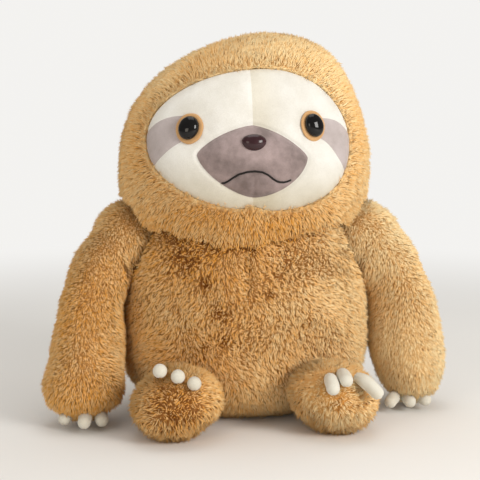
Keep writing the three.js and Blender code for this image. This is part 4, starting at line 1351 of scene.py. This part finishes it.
def stitch_tree():
    """Geometry nodes that lay short slanted stitches along a line."""
    made, t, given = new_tree("Stitches", "Stitches", Line="Geometry", Step="Float", Length="Float",
                              Radius="Float", Seed="Int", Material="Material")
    curve = t.out("GeometryNodeMeshToCurve", "Curve", {"Mesh": given["Line"]})
    curve = t.out("GeometryNodeResampleCurve", "Curve", {"Curve": curve, "Length": given["Step"]},
                  mode="LENGTH")
    stitch = t.out("GeometryNodeMeshUVSphere", "Mesh", {"Segments": 8, "Rings": 6, "Radius": 1.0})
    stitch = t.out("GeometryNodeTransform", "Geometry", {
        "Geometry": stitch,
        "Scale": t.out("ShaderNodeCombineXYZ", "Vector", {
            "X": given["Radius"], "Y": given["Radius"], "Z": given["Length"]})})
    along = t.out("GeometryNodeInputTangent", "Tangent")
    jitter = t.out("FunctionNodeRandomValue", "Value", {
        "Min": (-0.12, -0.12, -0.12), "Max": (0.12, 0.12, 0.12), "Seed": given["Seed"]},
        data_type="FLOAT_VECTOR")
    turn = t.out("FunctionNodeAlignEulerToVector", "Rotation", {
        "Vector": t.vector("ADD", along, jitter)}, axis="Z")
    placed = t.out("GeometryNodeInstanceOnPoints", "Instances", {
        "Points": curve, "Instance": stitch, "Rotation": turn})
    whole = t.out("GeometryNodeRealizeInstances", "Geometry", {"Geometry": placed})
    whole = t.out("GeometryNodeSetShadeSmooth", "Geometry", {"Geometry": whole})
    whole = t.out("GeometryNodeSetMaterial", "Geometry", {"Geometry": whole, "Material": given["Material"]})
    t.feed(t.node("NodeGroupOutput").inputs["Stitches"], whole)
    return made


class SLOTH_OT_mouth(bpy.types.Operator):
    """Stitch the mouth into the crease of the muzzle"""

    bl_idname = "sloth.mouth"
    bl_label = "Mouth"

    def execute(self, context):
        cloth = FaceCloth(context.scene.sloth_face)
        line = mouth_line(120)
        points = cloth.at(line[:, 0], line[:, 1], 0.0006)
        thread = woven_material("black_thread", (0.012, 0.009, 0.008), 2500.0, rough=0.6, contrast=0.3)
        mesh = bpy.data.meshes.new("mouth_line")
        mesh.from_pydata([tuple(p) for p in points], [(k, k + 1) for k in range(len(points) - 1)], [])
        obj = new_object("mouth_stitches", mesh)
        grown(obj, stitch_tree(), {"Step": 0.0021, "Length": 0.0021, "Radius": 0.0016, "Seed": 5,
                                   "Material": thread})
        finish_piece(obj, "torso", "thread", thread, "mouth_stitch")
        return {"FINISHED"}


# ---------------------------------------------------------------- claws

# All in millimetres. A curl is how far a claw's tip bends aside, as a share of its length
FOOT_CLAWS = {
    "left": {"front": -246, "roots": ((25, 48, 87), (1, 44, 99), (-25, 44, 108)),
             "ways": ((-0.05, -0.95, 0.29), (-0.03, -0.95, 0.29), (-0.02, -0.95, 0.29)),
             "curls": ((0, 0, -0.05), (0, 0, -0.05), (0, 0, -0.05))},
    "right": {"front": -234, "roots": ((-14, 25, 93), (6, 34, 98), (28, 27, 92)),
              "ways": ((-0.02, -0.9, 0.1), (0, -1, 0.05), (0.45, -0.9, 0.1)),
              "curls": ((0, 0.1, -0.42), (0, 0, -0.15), (0.2, 0.1, -0.6))},
}
# in each arm's own frame, measured out from the shoulder and up from the hand's lowest point
HANDS = {
    "left": {"drop": 290, "swing": 20, "roots": ((51, 0, 15), (71, -13, 11), (94, 9, 19)),
             "ways": ((0.15, -0.87, -0.47), (-0.05, -0.89, -0.45), (-0.31, -0.84, -0.44))},
    "right": {"drop": 277, "swing": 5, "roots": ((61, -23, 16), (77, -17, 16), (94, -13, 17)),
              "ways": ((-0.52, -0.83, -0.2), (0.05, -0.97, -0.22), (0.4, -0.89, -0.22))},
}
SHOULDER = (185, -10, 282)
FOOT_MIDDLE = 119  # how far out the middle of a foot lies
FOOT_CLAW, HAND_CLAW = 44, 40  # lengths
HAND_CURL = (0, 0.05, -0.08)


def claw_points(root, way, curl, length, radius, tip):
    """A stuffed claw along its curve, gathered where it is sewn on, with a seam underneath."""
    root, way, curl = np.array(root, float), unit(np.array(way, float)), np.array(curl, float)
    sides, steps = 28, 26
    centres, rings = [], []
    for k in range(steps + 1):
        s = k / steps
        centres.append(root + way * s * length + curl * s * s * length)
    centres = np.array(centres)
    ways = unit(np.gradient(centres, axis=0))
    over = unit(np.array([0, 0.0, 1.0]) - ways * ways[:, 2:3])
    side = np.cross(ways, over)
    total = np.concatenate([[0], np.cumsum(np.linalg.norm(np.diff(centres, axis=0), axis=1))])
    for k in range(1, steps):
        s = total[k] / total[-1]
        left = total[-1] - total[k]
        round_end = math.sqrt(max(1 - max(1 - left / (tip * 1.05), 0) ** 2, 0.0))
        gathered = 0.80 + 0.20 * smooth_step(0.05, 0.38, s)
        size = (radius + (tip - radius) * s) * round_end * gathered
        ring = []
        for j in range(sides):
            angle = 2 * math.pi * j / sides
            seam = 0.07 * bell(angle - 1.5 * math.pi, 0.16)
            pucker = 0.05 * math.cos(angle * 9) * (1 - smooth_step(0.1, 0.35, s))
            fold = 0.012 * math.sin(angle * 3 + s * 9)
            reach = size * (1 - seam + pucker + fold)
            ring.append(centres[k] + (side[k] * math.cos(angle) + over[k] * math.sin(angle)) * reach)
        rings.append(ring)
    return tube(rings, centres[0], centres[-1])


class SLOTH_OT_claws(bpy.types.Operator):
    """Make the twelve stuffed claws of the hands and feet"""

    bl_idname = "sloth.claws"
    bl_label = "Claws"

    def execute(self, context):
        claws = context.scene.sloth_claws
        ivory = woven_material("claw_cloth", claws.ivory, 1300.0, rough=0.8, contrast=0.1, sheen=0.25)
        radius, tip = claws.radius / MM, claws.tip / MM
        for name, side in SIDES:
            foot, hand = FOOT_CLAWS[name], HANDS[name]
            swing = Matrix.Rotation(-math.radians(hand["swing"]), 3, "X")
            shoulder = np.array([side * SHOULDER[0], SHOULDER[1], SHOULDER[2]])
            for index, finger in enumerate(("inner", "middle", "outer")):
                x, back, z = foot["roots"][index]
                root = side * FOOT_MIDDLE + x, foot["front"] + back, z
                points, faces = claw_points(root, foot["ways"][index], foot["curls"][index],
                                            FOOT_CLAW, radius, tip)
                self.add("foot", f"{name}_{finger}", np.array(points), faces, "torso", ivory)
                out, y, rise = hand["roots"][index]
                points, faces = claw_points((side * out, y, rise - hand["drop"]), hand["ways"][index],
                                            HAND_CURL, HAND_CLAW, radius, tip)
                at = np.array(points) @ np.array(swing).T + shoulder
                self.add("hand", f"{name}_{finger}", at, faces, f"arm_{name}", ivory)
        return {"FINISHED"}

    def add(self, limb, place, points, faces, body, material):
        name = f"{limb}_claw_cloth_{place}"
        mesh = mesh_from(name, points * MM, faces)
        with edited(mesh) as built:
            bmesh.ops.recalc_face_normals(built, faces=built.faces)
        finish_piece(new_object(name, mesh), body, "claw_cloth", material, f"{limb}_claw_{place}", fill=0.9)


# ---------------------------------------------------------------- hidden pieces and the stage


class SLOTH_OT_washers(bpy.types.Operator):
    """Give the lock washers behind the eyes and nose their plastic"""

    bl_idname = "sloth.washers"
    bl_label = "Washers"

    def execute(self, context):
        washer = plastic_material("washer_plastic", (0.75, 0.75, 0.73), 0.45)
        for name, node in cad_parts.items():
            if "washer" in name:
                node.data.materials.clear()
                node.data.materials.append(washer)
        return {"FINISHED"}


class SLOTH_OT_stage(bpy.types.Operator):
    """Set up the camera, the pale floor and the soft lights"""

    bl_idname = "sloth.stage"
    bl_label = "Stage"

    def execute(self, context):
        scene, stage = context.scene, context.scene.sloth_stage
        camera = bpy.data.objects.new("camera", bpy.data.cameras.new("camera"))
        scene.collection.objects.link(camera)
        scene.camera = camera
        around = math.radians(stage.azimuth)
        camera.location = (math.sin(around) * stage.distance, -math.cos(around) * stage.distance,
                           stage.height)
        camera.rotation_euler = (math.radians(90 - stage.pitch), 0, around + math.radians(stage.pan))
        camera.data.lens = stage.lens
        camera.data.sensor_width = 36
        scene.view_settings.view_transform = "Standard"
        self.floor()
        self.lamps(scene)
        return {"FINISHED"}

    def floor(self):
        material, tree, shader = new_material("pale_floor", 0.9, 0.1)
        place = tree.out("ShaderNodeTexCoord", "Object")
        tree.feed(shader.inputs["Base Color"], tree.ramp(
            tree.noise(place, 1.5), (0.3, (0.80, 0.79, 0.77)), (0.7, (0.83, 0.82, 0.80))))
        # far from the toy the floor fades into the pale background
        far = tree.ramp(tree.math("DIVIDE", tree.vector("LENGTH", place), 4.0), (0.12, 0.0), (0.6, 1.0),
                        interpolation="EASE")
        seen = tree.out("ShaderNodeLightPath", "Is Camera Ray")
        pale = tree.node("ShaderNodeEmission", {"Color": (*BACKGROUND, 1), "Strength": 1.0})
        blend = tree.node("ShaderNodeMixShader", {0: tree.math("MULTIPLY", far, seen),
                                                  1: shader.outputs[0], 2: pale.outputs[0]})
        tree.feed(material.node_tree.nodes["Material Output"].inputs["Surface"], blend.outputs[0])
        corners = ((-1, -1), (1, -1), (1, 1), (-1, 1))
        mesh = mesh_from("floor", [(FAR_OFF * x, FAR_OFF * y, 0) for x, y in corners], [(0, 1, 2, 3)])
        mesh.materials.append(material)
        new_object("floor", mesh)

    def lamps(self, scene):
        world = bpy.data.worlds.new("studio")
        scene.world = world
        world.use_nodes = True
        tree = Tree(world.node_tree)
        background = world.node_tree.nodes["Background"]
        rays = tree.node("ShaderNodeLightPath").outputs
        seen = tree.math("MAXIMUM", rays["Is Camera Ray"], rays["Is Transmission Ray"])
        tree.feed(background.inputs["Color"], tree.mix(seen, (0.94, 0.91, 0.86), BACKGROUND))
        light = tree.math("SUBTRACT", 0.66, tree.math("MULTIPLY", rays["Is Glossy Ray"], 0.4))
        tree.feed(background.inputs["Strength"], tree.math("MAXIMUM", seen, light))
        for name, place, aim, size, power, tint in (
            ("key", (1.55, -1.85, 1.1), (0.03, 0, 0.12), 1.0, 39.3, (1.0, 0.975, 0.94)),
            ("fill", (-1.5, -1.9, 0.7), (0, 0, 0.2), 0.8, 6.5, (1.0, 0.90, 0.78)),
            ("top", (0.0, 0.1, 2.3), (0, 0, 0.3), 1.4, 9.5, (1.0, 1.0, 1.0)),
        ):
            lamp = bpy.data.lights.new(name, "AREA")
            lamp.shape = "SQUARE"
            lamp.size = size
            lamp.energy = power
            lamp.color = tint
            obj = bpy.data.objects.new(name, lamp)
            scene.collection.objects.link(obj)
            obj.location = place
            obj.rotation_euler = (Vector(aim) - Vector(place)).to_track_quat("-Z", "Y").to_euler()


class SLOTH_PT_panel(bpy.types.Panel):
    """The steps that dress the sloth"""

    bl_idname = "SLOTH_PT_panel"
    bl_label = "Plush sloth"
    bl_space_type = "VIEW_3D"
    bl_region_type = "UI"
    bl_category = "Sloth"

    def draw(self, context):
        for group in SETTINGS:
            box = self.layout.box()
            owner = getattr(context.scene, group)
            for name in SETTINGS[group].__annotations__:
                box.prop(owner, name)
        for operator in OPERATORS:
            self.layout.operator(operator.bl_idname)


SETTINGS = {"sloth_coat": SLOTH_PG_coat, "sloth_face": SLOTH_PG_face, "sloth_eyes": SLOTH_PG_eyes,
            "sloth_claws": SLOTH_PG_claws, "sloth_stage": SLOTH_PG_stage}
OPERATORS = (SLOTH_OT_stage, SLOTH_OT_coat, SLOTH_OT_fillings, SLOTH_OT_face, SLOTH_OT_eyes, SLOTH_OT_nose,
             SLOTH_OT_mouth, SLOTH_OT_claws, SLOTH_OT_washers)
CLASSES = (*SETTINGS.values(), *OPERATORS, SLOTH_PT_panel)


def register():
    for cls in CLASSES:
        bpy.utils.register_class(cls)
    for name, group in SETTINGS.items():
        setattr(bpy.types.Scene, name, PointerProperty(type=group))


def unregister():
    for name in SETTINGS:
        delattr(bpy.types.Scene, name)
    for cls in reversed(CLASSES):
        bpy.utils.unregister_class(cls)


def main():
    register()
    for operator in OPERATORS:
        group, name = operator.bl_idname.split(".")
        getattr(getattr(bpy.ops, group), name)()


if __name__ == "__main__":
    main()
